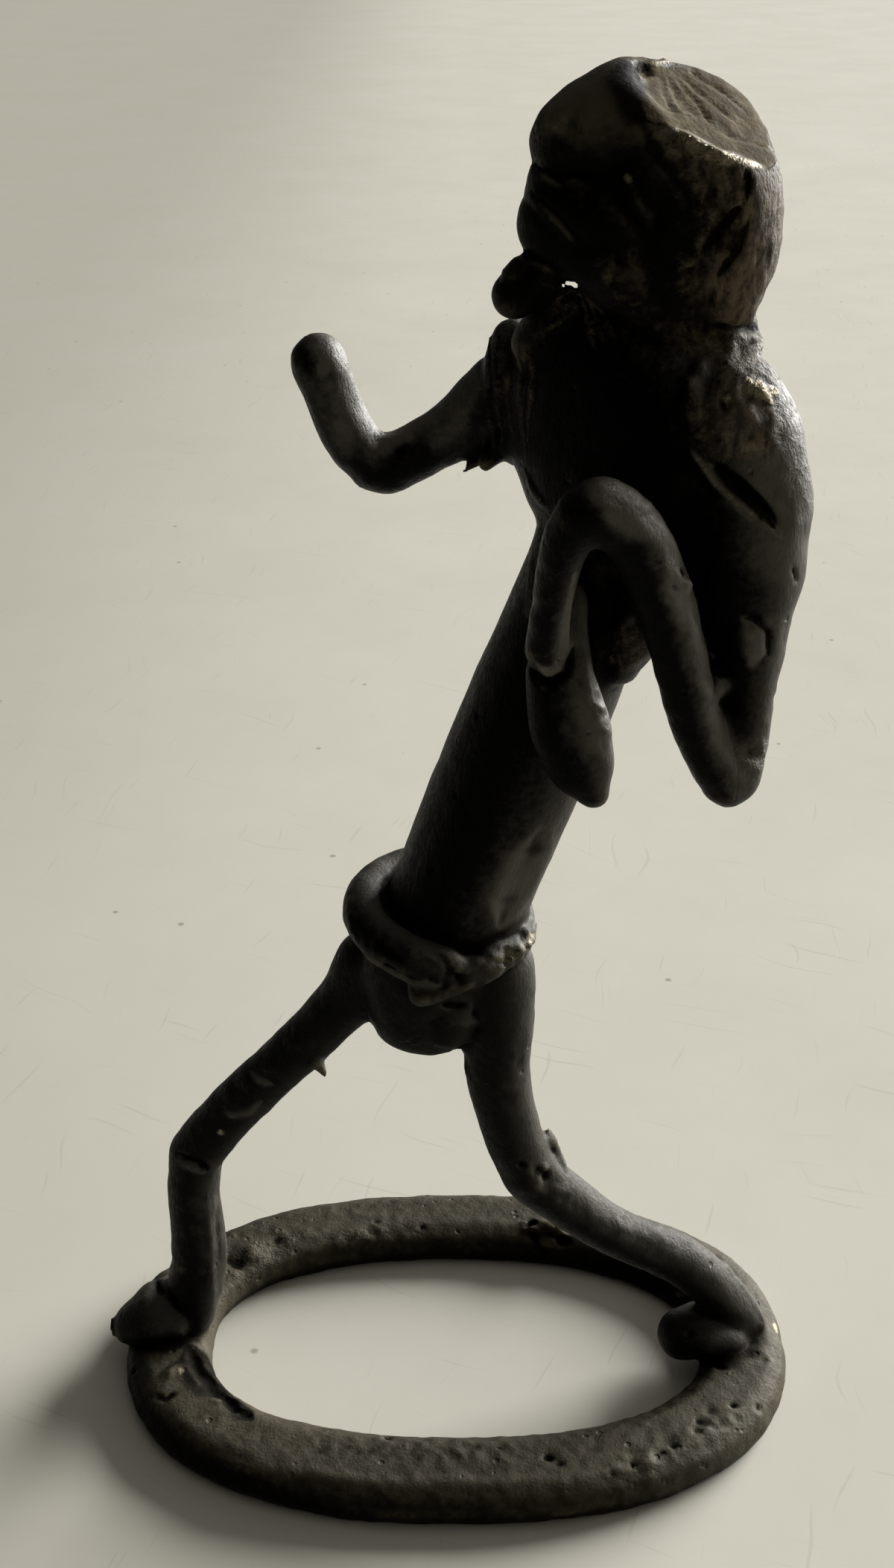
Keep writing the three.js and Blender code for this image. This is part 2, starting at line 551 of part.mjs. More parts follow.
const figure = new THREE.Group();
const grown = [];
for (const { name, colour, shape, trim } of pieces) {
  let body = trim(shape(0));
  for (const before of grown) body = body.subtract(before);
  body = largest(body);
  grown.push(shape(SEAT_GAP));
  const mesh = body.getMesh();
  const geometry = new THREE.BufferGeometry();
  geometry.setAttribute('position', new THREE.BufferAttribute(new Float32Array(mesh.vertProperties), 3));
  geometry.setIndex(new THREE.BufferAttribute(new Uint32Array(mesh.triVerts), 1));
  geometry.computeVertexNormals();
  const material = new THREE.MeshStandardMaterial({ color: colour, ...METAL });
  const node = new THREE.Mesh(geometry, material);
  node.name = name;
  figure.add(node);
}

// The origin is on the table, under the middle of the figure's box.
const box = new THREE.Box3().setFromObject(figure);
figure.position.set(-(box.min.x + box.max.x) / 2, -(box.min.y + box.max.y) / 2, -box.min.z);
figure.updateMatrixWorld(true);

export default figure;
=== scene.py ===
"""A small walking figure of cast brass on a flat oval ring, about 122 mm tall.

The founder made it in wax out of rolled rods, pressed pads and pinched lobes, smeared their joints
together, and cast it in one pour. The script does the same: each section presses one group of wax
pieces on, with the marks that its surface carries, and the last sections pour the brass and set
the figure up for its picture. Lengths are in millimetres until the meshes are made.
"""

import bpy
import numpy as np
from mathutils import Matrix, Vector
from mathutils.bvhtree import BVHTree


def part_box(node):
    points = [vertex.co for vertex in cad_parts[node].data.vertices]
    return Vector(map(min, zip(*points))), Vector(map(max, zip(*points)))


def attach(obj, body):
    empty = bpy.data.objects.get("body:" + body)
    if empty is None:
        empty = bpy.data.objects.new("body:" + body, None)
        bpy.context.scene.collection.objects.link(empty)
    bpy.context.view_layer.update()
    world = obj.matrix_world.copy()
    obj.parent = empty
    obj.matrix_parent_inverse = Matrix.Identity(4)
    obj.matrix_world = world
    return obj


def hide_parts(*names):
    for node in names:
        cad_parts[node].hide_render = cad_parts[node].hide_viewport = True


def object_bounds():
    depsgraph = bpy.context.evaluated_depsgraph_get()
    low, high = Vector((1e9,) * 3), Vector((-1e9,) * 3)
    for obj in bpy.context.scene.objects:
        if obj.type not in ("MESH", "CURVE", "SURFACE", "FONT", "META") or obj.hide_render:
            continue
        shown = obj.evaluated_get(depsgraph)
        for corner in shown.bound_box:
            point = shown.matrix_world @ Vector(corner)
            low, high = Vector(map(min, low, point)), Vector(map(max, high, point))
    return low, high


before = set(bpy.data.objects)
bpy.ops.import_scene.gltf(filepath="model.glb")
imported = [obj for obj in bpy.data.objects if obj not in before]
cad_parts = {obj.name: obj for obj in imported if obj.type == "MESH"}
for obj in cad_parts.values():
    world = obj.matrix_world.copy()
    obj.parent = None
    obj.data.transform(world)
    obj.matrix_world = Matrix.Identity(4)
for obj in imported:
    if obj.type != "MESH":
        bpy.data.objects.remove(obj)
cad_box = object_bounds()


# Base ring: one rolled rod of wax bent to a squarish oval and pressed flat on the bench. Its
# upper side is gritty and pitted from the clay mould, and painted a little paler than the figure
# where light falls on it: painted light.

# The wax is a grid of distances to its skin, below 0 inside. STEP is the grid's spacing, and REACH
# how far from a piece the distances are known. MARGIN is the room round the figure, NOWHERE stands
# for a place far from any wax, and NUDGE keeps the grid's points off the pieces' corners.
MM = 1000.0
STEP = 0.28
REACH = 1.8
MARGIN = 3.0
NOWHERE = 9.0
TINY = 1e-9
NUDGE = np.array([0.0137, 0.0071, 0.0093])

grid_low = np.array(cad_box[0]) * MM - MARGIN + NUDGE
grid_shape = np.ceil((np.array(cad_box[1]) * MM + MARGIN - grid_low) / STEP).astype(int) + 1
wax = np.full(grid_shape, NOWHERE, np.float32)
nearest = np.full(grid_shape, NOWHERE, np.float32)
second = np.full(grid_shape, NOWHERE, np.float32)
pressed = {}
surfaces = {}
tool_marks = []
strokes = {"bare": [], "crust": [], "sawn": [], "lit_brown": [], "black": []}

# The eye that took the photograph, which is 1200 pixels wide and 2105 high. It stands EYE_BACK
# from the ring's middle, EYE_HIGH above the table and EYE_LEFT to the left. FOCUS is the length of
# its lens and MIDDLE the middle of the picture, both in pixels.
EYE_BACK = 140.9
EYE_HIGH = 137.9
EYE_LEFT = 0.9
EYE_TO_FIGURE = 155.0
ring_low, ring_high = (np.array(corner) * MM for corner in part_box("base_ring"))
ring_middle = (ring_low + ring_high) / 2
EYE = np.array([ring_middle[0] - EYE_LEFT, ring_middle[1] - EYE_BACK, EYE_HIGH])
LOOKING_DOWN = np.radians(27.3)
FOCUS = 2500.0
MIDDLE = (600.0, 1052.5)


def sight(u, v):
    """The direction from the eye through a pixel of the photograph."""
    right, up = (u - MIDDLE[0]) / FOCUS, (MIDDLE[1] - v) / FOCUS
    sin, cos = np.sin(LOOKING_DOWN), np.cos(LOOKING_DOWN)
    ray = np.array([right, cos + up * sin, up * cos - sin])
    return ray / np.linalg.norm(ray)


def block(low, high, margin):
    """Slices of the grid that cover a box and a margin round it."""
    start = np.floor((np.asarray(low) - margin - grid_low) / STEP).astype(int)
    stop = np.ceil((np.asarray(high) + margin - grid_low) / STEP).astype(int) + 1
    start = np.clip(start, 0, grid_shape - 2)
    stop = np.clip(stop, start + 2, grid_shape)
    return tuple(slice(a, b) for a, b in zip(start, stop))


def places_in(part):
    """The points of a block, in millimetres."""
    lines = [grid_low[i] + STEP * np.arange(part[i].start, part[i].stop) for i in range(3)]
    return np.stack(np.meshgrid(*lines, indexing="ij"), axis=-1).astype(np.float32)


def triangles(node):
    """A frame node's corners in millimetres and its triangles."""
    mesh = node.data
    points = np.empty(len(mesh.vertices) * 3)
    mesh.vertices.foreach_get("co", points)
    mesh.calc_loop_triangles()
    corners = np.empty(len(mesh.loop_triangles) * 3, np.int32)
    mesh.loop_triangles.foreach_get("vertices", corners)
    return points.reshape(-1, 3) * MM, corners.reshape(-1, 3)


def filled(points, corners, part):
    """True at the block's points that lie inside the closed skin, counted up each column."""
    flips = np.zeros([side.stop - side.start for side in part], np.uint8)
    low = grid_low + STEP * np.array([side.start for side in part])
    for a, b, c in points[corners]:
        area = (b[0] - a[0]) * (c[1] - a[1]) - (b[1] - a[1]) * (c[0] - a[0])
        if abs(area) < TINY:
            continue
        first = np.ceil((np.minimum(np.minimum(a, b), c)[:2] - low[:2]) / STEP).astype(int)
        last = np.floor((np.maximum(np.maximum(a, b), c)[:2] - low[:2]) / STEP).astype(int)
        if (last < first).any():
            continue
        i, j = np.meshgrid(np.arange(first[0], last[0] + 1), np.arange(first[1], last[1] + 1))
        x, y = low[0] + STEP * i, low[1] + STEP * j
        u = ((x - a[0]) * (c[1] - a[1]) - (y - a[1]) * (c[0] - a[0])) / area
        v = ((b[0] - a[0]) * (y - a[1]) - (b[1] - a[1]) * (x - a[0])) / area
        hit = (u >= 0) & (v >= 0) & (u + v < 1)
        z = a[2] + u[hit] * (b[2] - a[2]) + v[hit] * (c[2] - a[2])
        k = np.ceil((z - low[2]) / STEP).astype(int)
        flips[i[hit], j[hit], k] ^= 1
    return np.bitwise_xor.accumulate(flips, axis=2).astype(bool)


def steps(length):
    """How many steps of the grid a length takes, at least one."""
    return max(1, int(round(length / STEP)))


def box_mean(field, half):
    """The field averaged over a cube of 2 * half + 1 points each way."""
    for axis in range(3):
        wide = [(0, 0)] * 3
        wide[axis] = (half + 1, half)
        total = np.cumsum(np.pad(field, wide, mode="edge").astype(np.float64), axis=axis)
        size = 2 * half + 1
        count = field.shape[axis]
        ahead = np.take(total, range(size, size + count), axis=axis)
        behind = np.take(total, range(count), axis=axis)
        field = ((ahead - behind) / size).astype(np.float32)
    return field


def softened(field, length):
    """The field with its edges rounded over by about that length."""
    return box_mean(box_mean(field, steps(length)), steps(length))


def smeared(a, b, width):
    """Two forms joined, with a fillet of about that width smeared into the joint."""
    share = np.clip(0.5 + 0.5 * (b - a) / width, 0, 1)
    return b * (1 - share) + a * share - width * share * (1 - share)


def along_line(points, line):
    """How far points lie from a line of straight runs, and how far along it, from 0 to 1."""
    line = np.asarray(line, np.float32)
    least = np.full(points.shape[:-1], np.inf, np.float32)
    share = np.zeros(points.shape[:-1], np.float32)
    runs = max(1, len(line) - 1)
    for n in range(runs):
        start, way = line[n], line[min(n + 1, len(line) - 1)] - line[n]
        long = max(float(way @ way), TINY)
        along = np.clip((points - start) @ way / long, 0, 1)
        far = np.linalg.norm(points - start - along[..., None] * way, axis=-1)
        closer = far < least
        least[closer] = far[closer]
        share[closer] = ((n + along) / runs)[closer]
    return least, share


SPUR_FILLET = 0.5


def press_on(name, finish, smear, soften=0.6, swell=0.1, grit=(), spurs=()):
    """Presses the wax piece of that CAD node on the pieces before it.

    smear is the width of the fillet round its joint, soften how far its edges are rounded over,
    and swell how much it fattens to make up for that. grit lists (size, height) of its grain.
    spurs lists (root pixel, tip pixel, root width, tip width) of wax drawn out of its edge.
    """
    points, corners = triangles(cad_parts[name])
    tree = BVHTree.FromPolygons(points.tolist(), corners.tolist())
    horns = []
    for root, tip, thick, thin in spurs:
        at = np.array(tree.ray_cast(Vector(EYE), Vector(sight(*root)))[0] or
                      tree.find_nearest(Vector(EYE + sight(*root) * EYE_TO_FIGURE))[0])
        ray = sight(*tip)
        horns.append((at, EYE + ray * (at[1] - EYE[1]) / ray[1], thick, thin))
    reach = np.array([points.min(axis=0), points.max(axis=0)] + [horn[1] for horn in horns])
    part = block(reach.min(axis=0), reach.max(axis=0), REACH + 2 * STEP)
    inside = filled(points, corners, part)
    shell = np.zeros(inside.shape, bool)
    for axis in range(3):
        turn = np.diff(inside, axis=axis)
        ahead = [slice(None)] * 3
        behind = [slice(None)] * 3
        ahead[axis] = slice(1, None)
        behind[axis] = slice(None, -1)
        shell[tuple(ahead)] |= turn
        shell[tuple(behind)] |= turn
    near = box_mean(shell.astype(np.float32), steps(REACH)) > TINY
    distance = np.full(inside.shape, REACH, np.float32)
    places = places_in(part)
    find = tree.find_nearest
    distance[near] = np.minimum([find(place)[3] for place in places[near].tolist()], REACH)
    form = np.where(inside, -distance, distance)
    form = softened(form, soften) - swell
    for start, tip, thick, thin in horns:
        far, share = along_line(places, [start, tip])
        horn = far - (thick + (thin - thick) * share) / 2
        form = np.minimum(form, np.minimum(smeared(form, horn, SPUR_FILLET), REACH))
    np.copyto(second[part], np.minimum(second[part], np.maximum(nearest[part], form)))
    np.copyto(nearest[part], np.minimum(nearest[part], form))
    np.copyto(wax[part], smeared(wax[part], form, smear))
    pressed[name] = (part, form)
    surfaces[name] = (finish, grit)


def mark(pixels, wide, rise, ragged=0.3, lumps=0.0):
    """Draws a tool over the surface along the photograph's pixels, by its width and rise.

    A rise below 0 cuts a crease or a pit. ragged is the share by which it varies. lumps is the
    size of the grains that it leaves, instead of one even rise.
    """
    tool_marks.append((pixels, wide, rise, ragged, lumps))


def paint(kind, pixels, wide, share=1.0):
    """Changes the skin along the photograph's pixels, over that width.

    kind is bare, crust, sawn, black, or brown instead of black. The brown is painted light, put where
    light falls; black in creases, cracks and hollows is painted shade.
    """
    strokes[kind].append((pixels, wide, share))


def linear(code):
    """A colour written as six hex digits, as the shader's light values."""
    parts = [int(code[n:n + 2], 16) / 255 for n in (1, 3, 5)]
    return tuple(c / 12.92 if c <= 0.04045 else ((c + 0.055) / 1.055) ** 2.4 for c in parts) + (1,)


def add(tree, kind, inputs=(), out=0, **settings):
    """Adds a shader node with its settings, input values and links, and gives one output."""
    node = tree.nodes.new("ShaderNode" + kind)
    for key, value in settings.items():
        setattr(node, key, value)
    for key, value in dict(inputs).items():
        if isinstance(value, bpy.types.NodeSocket):
            tree.links.new(value, node.inputs[key])
        else:
            node.inputs[key].default_value = value
    return node.outputs[out]


def brass(name, dark, brown, mottle, rough, pits, grain_height, gloss=0.35,
          stretch=(1.0, 1.0, 1.0)):
    """Cast brass under a black patina, painted brown on top and on its right side as painted light.

    It is crusted where wax was smeared on, matt where it was sawn, and bare where it is rubbed
    through. mottle is the size of the patina's clouds, pits the share of the surface that is
    pitted, gloss how much the brown skin mirrors, and stretch how its grain is squeezed.
    """
    material = bpy.data.materials.new(name)
    material.use_nodes = True
    tree = material.node_tree
    shader = tree.nodes["Principled BSDF"]
    place = add(tree, "TexCoord", out="Object")
    drawn_out = add(tree, "VectorMath", {0: place, 1: stretch}, operation="MULTIPLY")

    # Each noise has a size in millimetres, a detail and the place that it is drawn on.
    noises = {
        "speckle": (0.55, 4, place), "clouds": (mottle, 5, place), "crumbs": (0.9, 5, drawn_out),
        "tears": (1.6, 5, place), "polish": (1.7, 3, place), "pitted": (3.1, 2, place),
        "fine grain": (0.35, 5, drawn_out), "coarse grain": (1.3, 4, drawn_out),
        "wrinkles": (0.5, 5, drawn_out), "folds": (1.7, 2, place), "scuffs": (0.28, 2, place),
    }
    noise = {}
    for use, (size, detail, at) in noises.items():
        noise[use] = add(tree, "TexNoise", {"Vector": at, "Scale": MM / size, "Detail": detail,
                                            "Roughness": 0.65})
    flecks, clouds = (add(tree, "Math", {0: noise[use], 1: 0.5}, operation="SUBTRACT")
                      for use in ("speckle", "clouds"))

    # Each share of the skin starts from what the mesh or a noise says, its edge is broken up by
    # other noises, and it goes from none to all between the last two values.
    wear, lit_brown, bare, crust, sawn, black = (
        add(tree, "Attribute", out="Fac", attribute_name=label)
        for label in ("wear", "lit_brown", "bare", "crust", "sawn", "black"))
    # The brown share is painted light: the mesh puts it on the side that faces the light and along the
    # brown strokes.
    edges = {
        "brown": (lit_brown, [(clouds, 0.35), (flecks, 0.7), (wear, 0.2)], -0.15, 1.0),
        "crust": (crust, [(flecks, 0.8), (clouds, 0.5)], 0.15, 0.85),
        "sunk": (wear, [], -0.05, -0.45), "black": (black, [], 0.1, 0.6),
        "rubbed": (wear, [(flecks, 0.9)], 0.35, 0.95),
        "bare": (bare, [(flecks, 1.1)], 0.3, 0.9), "sawn": (sawn, [(flecks, 0.4)], 0.3, 0.7),
        "pitted": (noise["pitted"], [], 0.62 - pits, 0.7 - pits),
    }
    share = {}
    for kind, (value, breaks, none, whole) in edges.items():
        for broken, amount in breaks:
            value = add(tree, "Math", {0: broken, 1: amount, 2: value}, operation="MULTIPLY_ADD")
        share[kind] = add(tree, "MapRange", {"Value": value, "From Min": none, "From Max": whole},
                          interpolation_type="SMOOTHSTEP")
    low = add(tree, "Math", {0: share["sunk"], 1: share["black"]}, operation="MAXIMUM")

    # Crust, sawn face and open metal each waver between two tones, and lie over the patina.
    tones = {"crust": ("crumbs", 0.36, "#221b14", "#5f5443"),
             "sawn": ("tears", 0.35, "#463c2a", "#5a4f38"),
             "open": ("polish", 0.35, "#575040", "#807660")}
    tone = {}
    for kind, (use, start, first, last) in tones.items():
        wavering = add(tree, "MapRange", {"Value": noise[use], "From Min": start,
                                          "From Max": 1 - start}, interpolation_type="SMOOTHSTEP")
        tone[kind] = add(tree, "Mix", {0: wavering, 6: linear(first), 7: linear(last)}, out=2,
                         data_type="RGBA")
    crusted = add(tree, "Math", {0: share["crust"], 1: 0.85}, operation="MULTIPLY")
    # The near black covers the patina in hollows and the black strokes, which in creases, cracks and
    # hollows are painted shade.
    blackened = add(tree, "Math", {0: low, 1: 0.85}, operation="MULTIPLY")
    thinned = add(tree, "Math", {0: share["rubbed"], 1: 0.3}, operation="MULTIPLY")
    opened = add(tree, "Math", {0: thinned, 1: share["bare"]}, operation="MAXIMUM")
    skin = linear(dark)
    for cover, over in [(share["brown"], linear(brown)), (crusted, tone["crust"]),
                        (blackened, linear("#060504")), (share["sawn"], tone["sawn"]),
                        (opened, tone["open"])]:
        skin = add(tree, "Mix", {0: cover, 6: skin, 7: over}, out=2, data_type="RGBA")
    tree.links.new(skin, shader.inputs["Base Color"])

    # Brown, crust and sawn face are matt. The hollows and the bare spots are metal all the same.
    matt = add(tree, "Math", {0: share["brown"], 1: share["crust"]}, operation="MAXIMUM")
    matt = add(tree, "Math", {0: matt, 1: share["sawn"]}, operation="MAXIMUM")
    raised = add(tree, "Math", {0: low, 1: -0.8, 2: 1.0}, operation="MULTIPLY_ADD")
    matt = add(tree, "Math", {0: matt, 1: raised}, operation="MULTIPLY")
    matt = add(tree, "Math", {0: share["bare"], 1: -0.6, 2: matt}, operation="MULTIPLY_ADD")
    metal = add(tree, "MapRange", {"Value": matt, "To Min": 0.97, "To Max": 0.1},
                interpolation_type="SMOOTHSTEP")
    tree.links.new(metal, shader.inputs["Metallic"])
    shader.inputs["Specular IOR Level"].default_value = gloss
    roughness = add(tree, "MapRange", {"Value": noise["speckle"], "From Min": 0.3, "From Max": 0.7,
                                       "To Min": rough - 0.08, "To Max": rough + 0.1},
                    interpolation_type="SMOOTHSTEP")
    torn = add(tree, "Math", {0: low, 1: share["sawn"]}, operation="MAXIMUM")
    for value, amount in [(torn, 0.28), (share["bare"], -0.25)]:
        roughness = add(tree, "Math", {0: value, 1: amount, 2: roughness},
                        operation="MULTIPLY_ADD")
    tree.links.new(roughness, shader.inputs["Roughness"])

    # The mould's grain and pits, the crust's wrinkles and the scuffs are the fine relief.
    cells = add(tree, "TexVoronoi", {"Vector": place, "Scale": MM / 1.3})
    pit = add(tree, "MapRange", {"Value": cells, "From Min": 0.28, "From Max": 0.1},
              interpolation_type="SMOOTHSTEP")
    pit = add(tree, "Math", {0: pit, 1: share["pitted"]}, operation="MULTIPLY")
    wrinkled = add(tree, "Math", {0: share["crust"], 1: share["sawn"]}, operation="SUBTRACT")
    wrinkled = add(tree, "Math", {0: wrinkled, 1: 0.0}, operation="MAXIMUM")
    wrinkle = add(tree, "Math", {0: noise["wrinkles"], 1: noise["folds"]}, operation="ADD")
    wrinkle = add(tree, "Math", {0: wrinkled, 1: wrinkle}, operation="MULTIPLY")
    scuff = add(tree, "Math", {0: noise["scuffs"], 1: bare}, operation="MULTIPLY")
    height = 0.0
    for value, amount in [(noise["fine grain"], 0.7), (noise["coarse grain"], 0.3), (pit, -0.9),
                          (wrinkle, 0.3 / grain_height), (scuff, 0.5)]:
        height = add(tree, "Math", {0: value, 1: amount, 2: height}, operation="MULTIPLY_ADD")
    relief = add(tree, "Bump", {"Height": height, "Strength": 1.0, "Distance": grain_height / MM})
    tree.links.new(relief, shader.inputs["Normal"])
    return material


# The ring's finish gives the eye a black skin painted brown-grey on top, which is painted light,
# with a little crust and dull yellow metal in a few worn spots.
RING = "ring"
finishes = {RING: (brass("gritty patinated brass", dark="#0b0a08", brown="#443f31", mottle=2.6,
                         rough=0.6, pits=0.1, grain_height=0.15, gloss=0.16), "ring_brass")}
press_on("base_ring", RING, smear=1.0, soften=0.3, swell=0.0,
         grit=[(9.0, 0.14), (2.4, 0.07), (0.8, 0.06)])

BRASSY_LUMP = [(226, 1836), (240, 1848)]
mark(BRASSY_LUMP, wide=3.0, rise=0.3)
mark(BRASSY_LUMP, wide=3.6, rise=0.4, lumps=0.9)
LUMP_SPOT = [(241, 1840)]
paint("bare", LUMP_SPOT, wide=1.2, share=0.8)
CRACKED_CORNER = [(204, 1872), (222, 1880), (236, 1868)]
mark(CRACKED_CORNER, wide=0.8, rise=-0.3)
ring_pits = {
    "left corner": [(180, 1842)], "near left": [(520, 1930)], "next left": [(600, 1905)],
    "near middle": [(736, 1958)], "next": [(752, 1966)], "near right": [(820, 1978)],
    "next right": [(850, 1968)], "third": [(890, 1950)], "fourth": [(905, 1942)],
    "fifth": [(938, 1908)], "sixth": [(958, 1916)], "seventh": [(984, 1888)],
    "eighth": [(1018, 1890)], "far": [(566, 1648)], "far, next": [(505, 1640)],
}
for pit in ring_pits.values():
    mark(pit, wide=0.9, rise=-0.4)
PITTED_SIDE = [(800, 1984), (870, 1962), (950, 1916), (1005, 1880)]
mark(PITTED_SIDE, wide=5.0, rise=0.2, lumps=0.8)
GRITTY_TOP = [(360, 1930), (560, 1950), (760, 1950)]
mark(GRITTY_TOP, wide=6.0, rise=0.12, lumps=0.6)
SHIN_CRUST = [(302, 1720), (330, 1692), (372, 1668), (404, 1658)]
mark(SHIN_CRUST, wide=5.0, rise=0.4, lumps=1.3)
paint("crust", SHIN_CRUST, wide=5.0, share=0.3)
FAR_EDGE_CRUST = [(440, 1672), (480, 1658), (520, 1650)]
mark(FAR_EDGE_CRUST, wide=3.0, rise=0.4, lumps=1.2)
paint("crust", FAR_EDGE_CRUST, wide=3.0, share=0.3)
RAGGED_SCABS = [(700, 1642), (728, 1652), (762, 1668)]
mark(RAGGED_SCABS, wide=4.4, rise=2.2, lumps=1.1)
paint("black", RAGGED_SCABS, wide=2.4, share=0.8)
# The crack and its tail are cut in and painted black: painted shade, deep in the crack.
INNER_CRACK = [(254, 1812), (266, 1838), (284, 1862), (306, 1882)]
mark(INNER_CRACK, wide=2.4, rise=-1.2, ragged=0.6)
paint("black", INNER_CRACK, wide=4.6)
CRACK_TAIL = [(298, 1876), (318, 1893), (338, 1906)]
mark(CRACK_TAIL, wide=1.3, rise=-0.9, ragged=0.8)
paint("black", CRACK_TAIL, wide=2.0)
RIM_LINE = [(906, 1650), (975, 1700), (1024, 1770), (1034, 1830), (1012, 1880)]
mark(RIM_LINE, wide=1.0, rise=0.3)
WORN_CORNER = [(1039, 1776), (1043, 1790)]
paint("bare", WORN_CORNER, wide=1.0)
NEAR_WALL_ROLL = [(330, 2000), (520, 2035), (760, 2030), (900, 1990)]
mark(NEAR_WALL_ROLL, wide=1.2, rise=0.25)
TOP_EDGE = [(200, 1930), (330, 1972), (520, 1996), (760, 1992), (900, 1958)]
mark(TOP_EDGE, wide=2.2, rise=0.2)


# Legs: rods rolled between the palms, stood on the ring and bent at the knees, with a pad
# pressed round each lower end for the foot. They are smoother than the ring.

# The legs' finish gives the eye a brown-black skin, painted brown where light falls on it, which
# is painted light.
LEG = "leg"
finishes[LEG] = (brass("brown-black patinated brass", dark="#121210", brown="#3b3831", mottle=5.0,
                       rough=0.58, pits=0.05, grain_height=0.16, gloss=0.2,
                       stretch=(1.0, 1.0, 0.5)),
                 "leg_brass")
ROLLED_GRIT = [(6.0, 0.12), (1.5, 0.07), (0.7, 0.03)]
for name in ["front_shin", "rear_shin"]:
    press_on(name, LEG, smear=1.2, grit=ROLLED_GRIT)
for name in ["front_foot", "rear_foot"]:
    press_on(name, LEG, smear=0.9, swell=0.15, grit=[(3.0, 0.12), (1.2, 0.05)])
THIGH_SPUR = ((424, 1424), (436, 1442), 1.2, 0.4)
press_on("front_thigh", LEG, smear=1.5, grit=ROLLED_GRIT, spurs=[THIGH_SPUR])
press_on("rear_thigh", LEG, smear=1.5, grit=ROLLED_GRIT)

TOE_RIM = [(152, 1762), (147, 1780), (153, 1800)]
mark(TOE_RIM, wide=0.9, rise=0.35)
# The foot's wedge is painted brown on its lit top: painted light.
FOOT_WEDGE = [(196, 1742), (222, 1722), (244, 1704)]
mark(FOOT_WEDGE, wide=6.0, rise=0.9, ragged=0.1)
paint("lit_brown", FOOT_WEDGE, wide=4.0, share=0.4)
SHIN_FLAT = [(292, 1600), (297, 1700), (302, 1800)]
mark(SHIN_FLAT, wide=2.6, rise=-0.3)
SHIN_EDGE = [(278, 1600), (283, 1700), (288, 1795)]
mark(SHIN_EDGE, wide=0.8, rise=0.2)
KNEE_CREASE = [(236, 1546), (264, 1560), (300, 1563)]
mark(KNEE_CREASE, wide=0.9, rise=-0.45)
# The folds' lips are painted brown where light catches them: painted highlights.
skin_folds = {
    "thigh, low": [(298, 1486), (312, 1499), (334, 1494), (352, 1476)],
    "thigh, high": [(336, 1438), (348, 1450), (365, 1456)],
    "knee": [(238, 1552), (252, 1568), (276, 1574)],
}
for fold in skin_folds.values():
    mark(fold, wide=0.7, rise=0.3)
    paint("lit_brown", fold, wide=0.8, share=0.8)
rolled_grain = {
    "front thigh": [(430, 1380), (360, 1440), (270, 1520)], "front shin": [(258, 1580), (262, 1740)],
    "rear thigh": [(690, 1380), (680, 1500)], "rear shin": [(780, 1620), (920, 1690)],
}
for line in rolled_grain.values():
    mark(line, wide=5.0, rise=0.13, lumps=0.9)
BRIGHT_SPECK = [(297, 1520)]
mark(BRIGHT_SPECK, wide=0.9, rise=0.3)
paint("bare", BRIGHT_SPECK, wide=0.8)
REAR_KNEE = [(705, 1560), (735, 1590), (770, 1622)]
mark(REAR_KNEE, wide=4.0, rise=0.35, lumps=0.9)
KNEE_BURR = [(733, 1506), (743, 1528), (752, 1549), (760, 1570)]
mark(KNEE_BURR, wide=1.8, rise=0.8, ragged=0.6)
leg_pits = {
    "front knee": [(250, 1552)], "front knee, next": [(272, 1566)], "rear knee": [(700, 1565)],
    "rear foot": [(925, 1790)],
}
for pit in leg_pits.values():
    mark(pit, wide=1.0, rise=-0.5)
FOOT_FACET = [(905, 1738), (920, 1739)]
mark(FOOT_FACET, wide=1.4, rise=-0.25)
paint("bare", FOOT_FACET, wide=0.9, share=0.6)
HEEL_SLOT = [(944, 1824), (974, 1838)]
mark(HEEL_SLOT, wide=0.9, rise=-0.6)


# Trunk, hips and belt: one thick rod that leans back, a pad pressed over its foot, and a coil
# rolled flat round the waist whose torn end is lapped in front over its own thin end.

# The body's finish gives the eye an almost black, smooth skin.
BODY = "body"
finishes[BODY] = (brass("black patinated brass", dark="#060606", brown="#454139", mottle=8.0,
                        rough=0.48, pits=0.03, grain_height=0.15, gloss=0.18,
                        stretch=(1.0, 1.0, 0.4)),
                  "body_brass")
TRUNK_SPUR = ((721, 1146), (730, 1149), 0.9, 0.4)
press_on("trunk", BODY, smear=1.4, grit=[(9.0, 0.15), (2.0, 0.05), (0.7, 0.02)],
         spurs=[TRUNK_SPUR])
press_on("hips", LEG, smear=1.6, grit=[(5.0, 0.15), (1.5, 0.07), (0.7, 0.03)])
press_on("waist_belt", LEG, smear=0.8, swell=0.15, grit=[(4.0, 0.12), (1.3, 0.06)])

# The trunk's facet is cut flat and painted brown where light falls on it: painted light.
TRUNK_FACET = [(728, 1115), (700, 1180), (674, 1238)]
mark(TRUNK_FACET, wide=5.5, rise=-0.55, ragged=0.1)
paint("lit_brown", TRUNK_FACET, wide=4.4, share=0.6)
trunk_pits = {"high": [(640, 960)], "middle": [(612, 1066)], "low": [(580, 1168)]}
for pit in trunk_pits.values():
    mark(pit, wide=0.8, rise=-0.3)
BELT_GRAIN = [(474, 1180), (468, 1240), (520, 1290), (600, 1312), (690, 1292), (718, 1240)]
mark(BELT_GRAIN, wide=5.0, rise=0.22, lumps=0.8)
BELT_UNDERCUT = [(467, 1266), (520, 1296), (578, 1326)]
mark(BELT_UNDERCUT, wide=0.8, rise=-0.4)
TONGUE_EDGE = [(562, 1272), (590, 1284), (603, 1304), (592, 1326), (562, 1328)]
mark(TONGUE_EDGE, wide=0.7, rise=-0.4)
SECOND_LIP = [(551, 1330), (572, 1344), (594, 1346)]
mark(SECOND_LIP, wide=0.8, rise=0.35)
TORN_END = [(650, 1289), (684, 1285), (708, 1270), (718, 1236)]
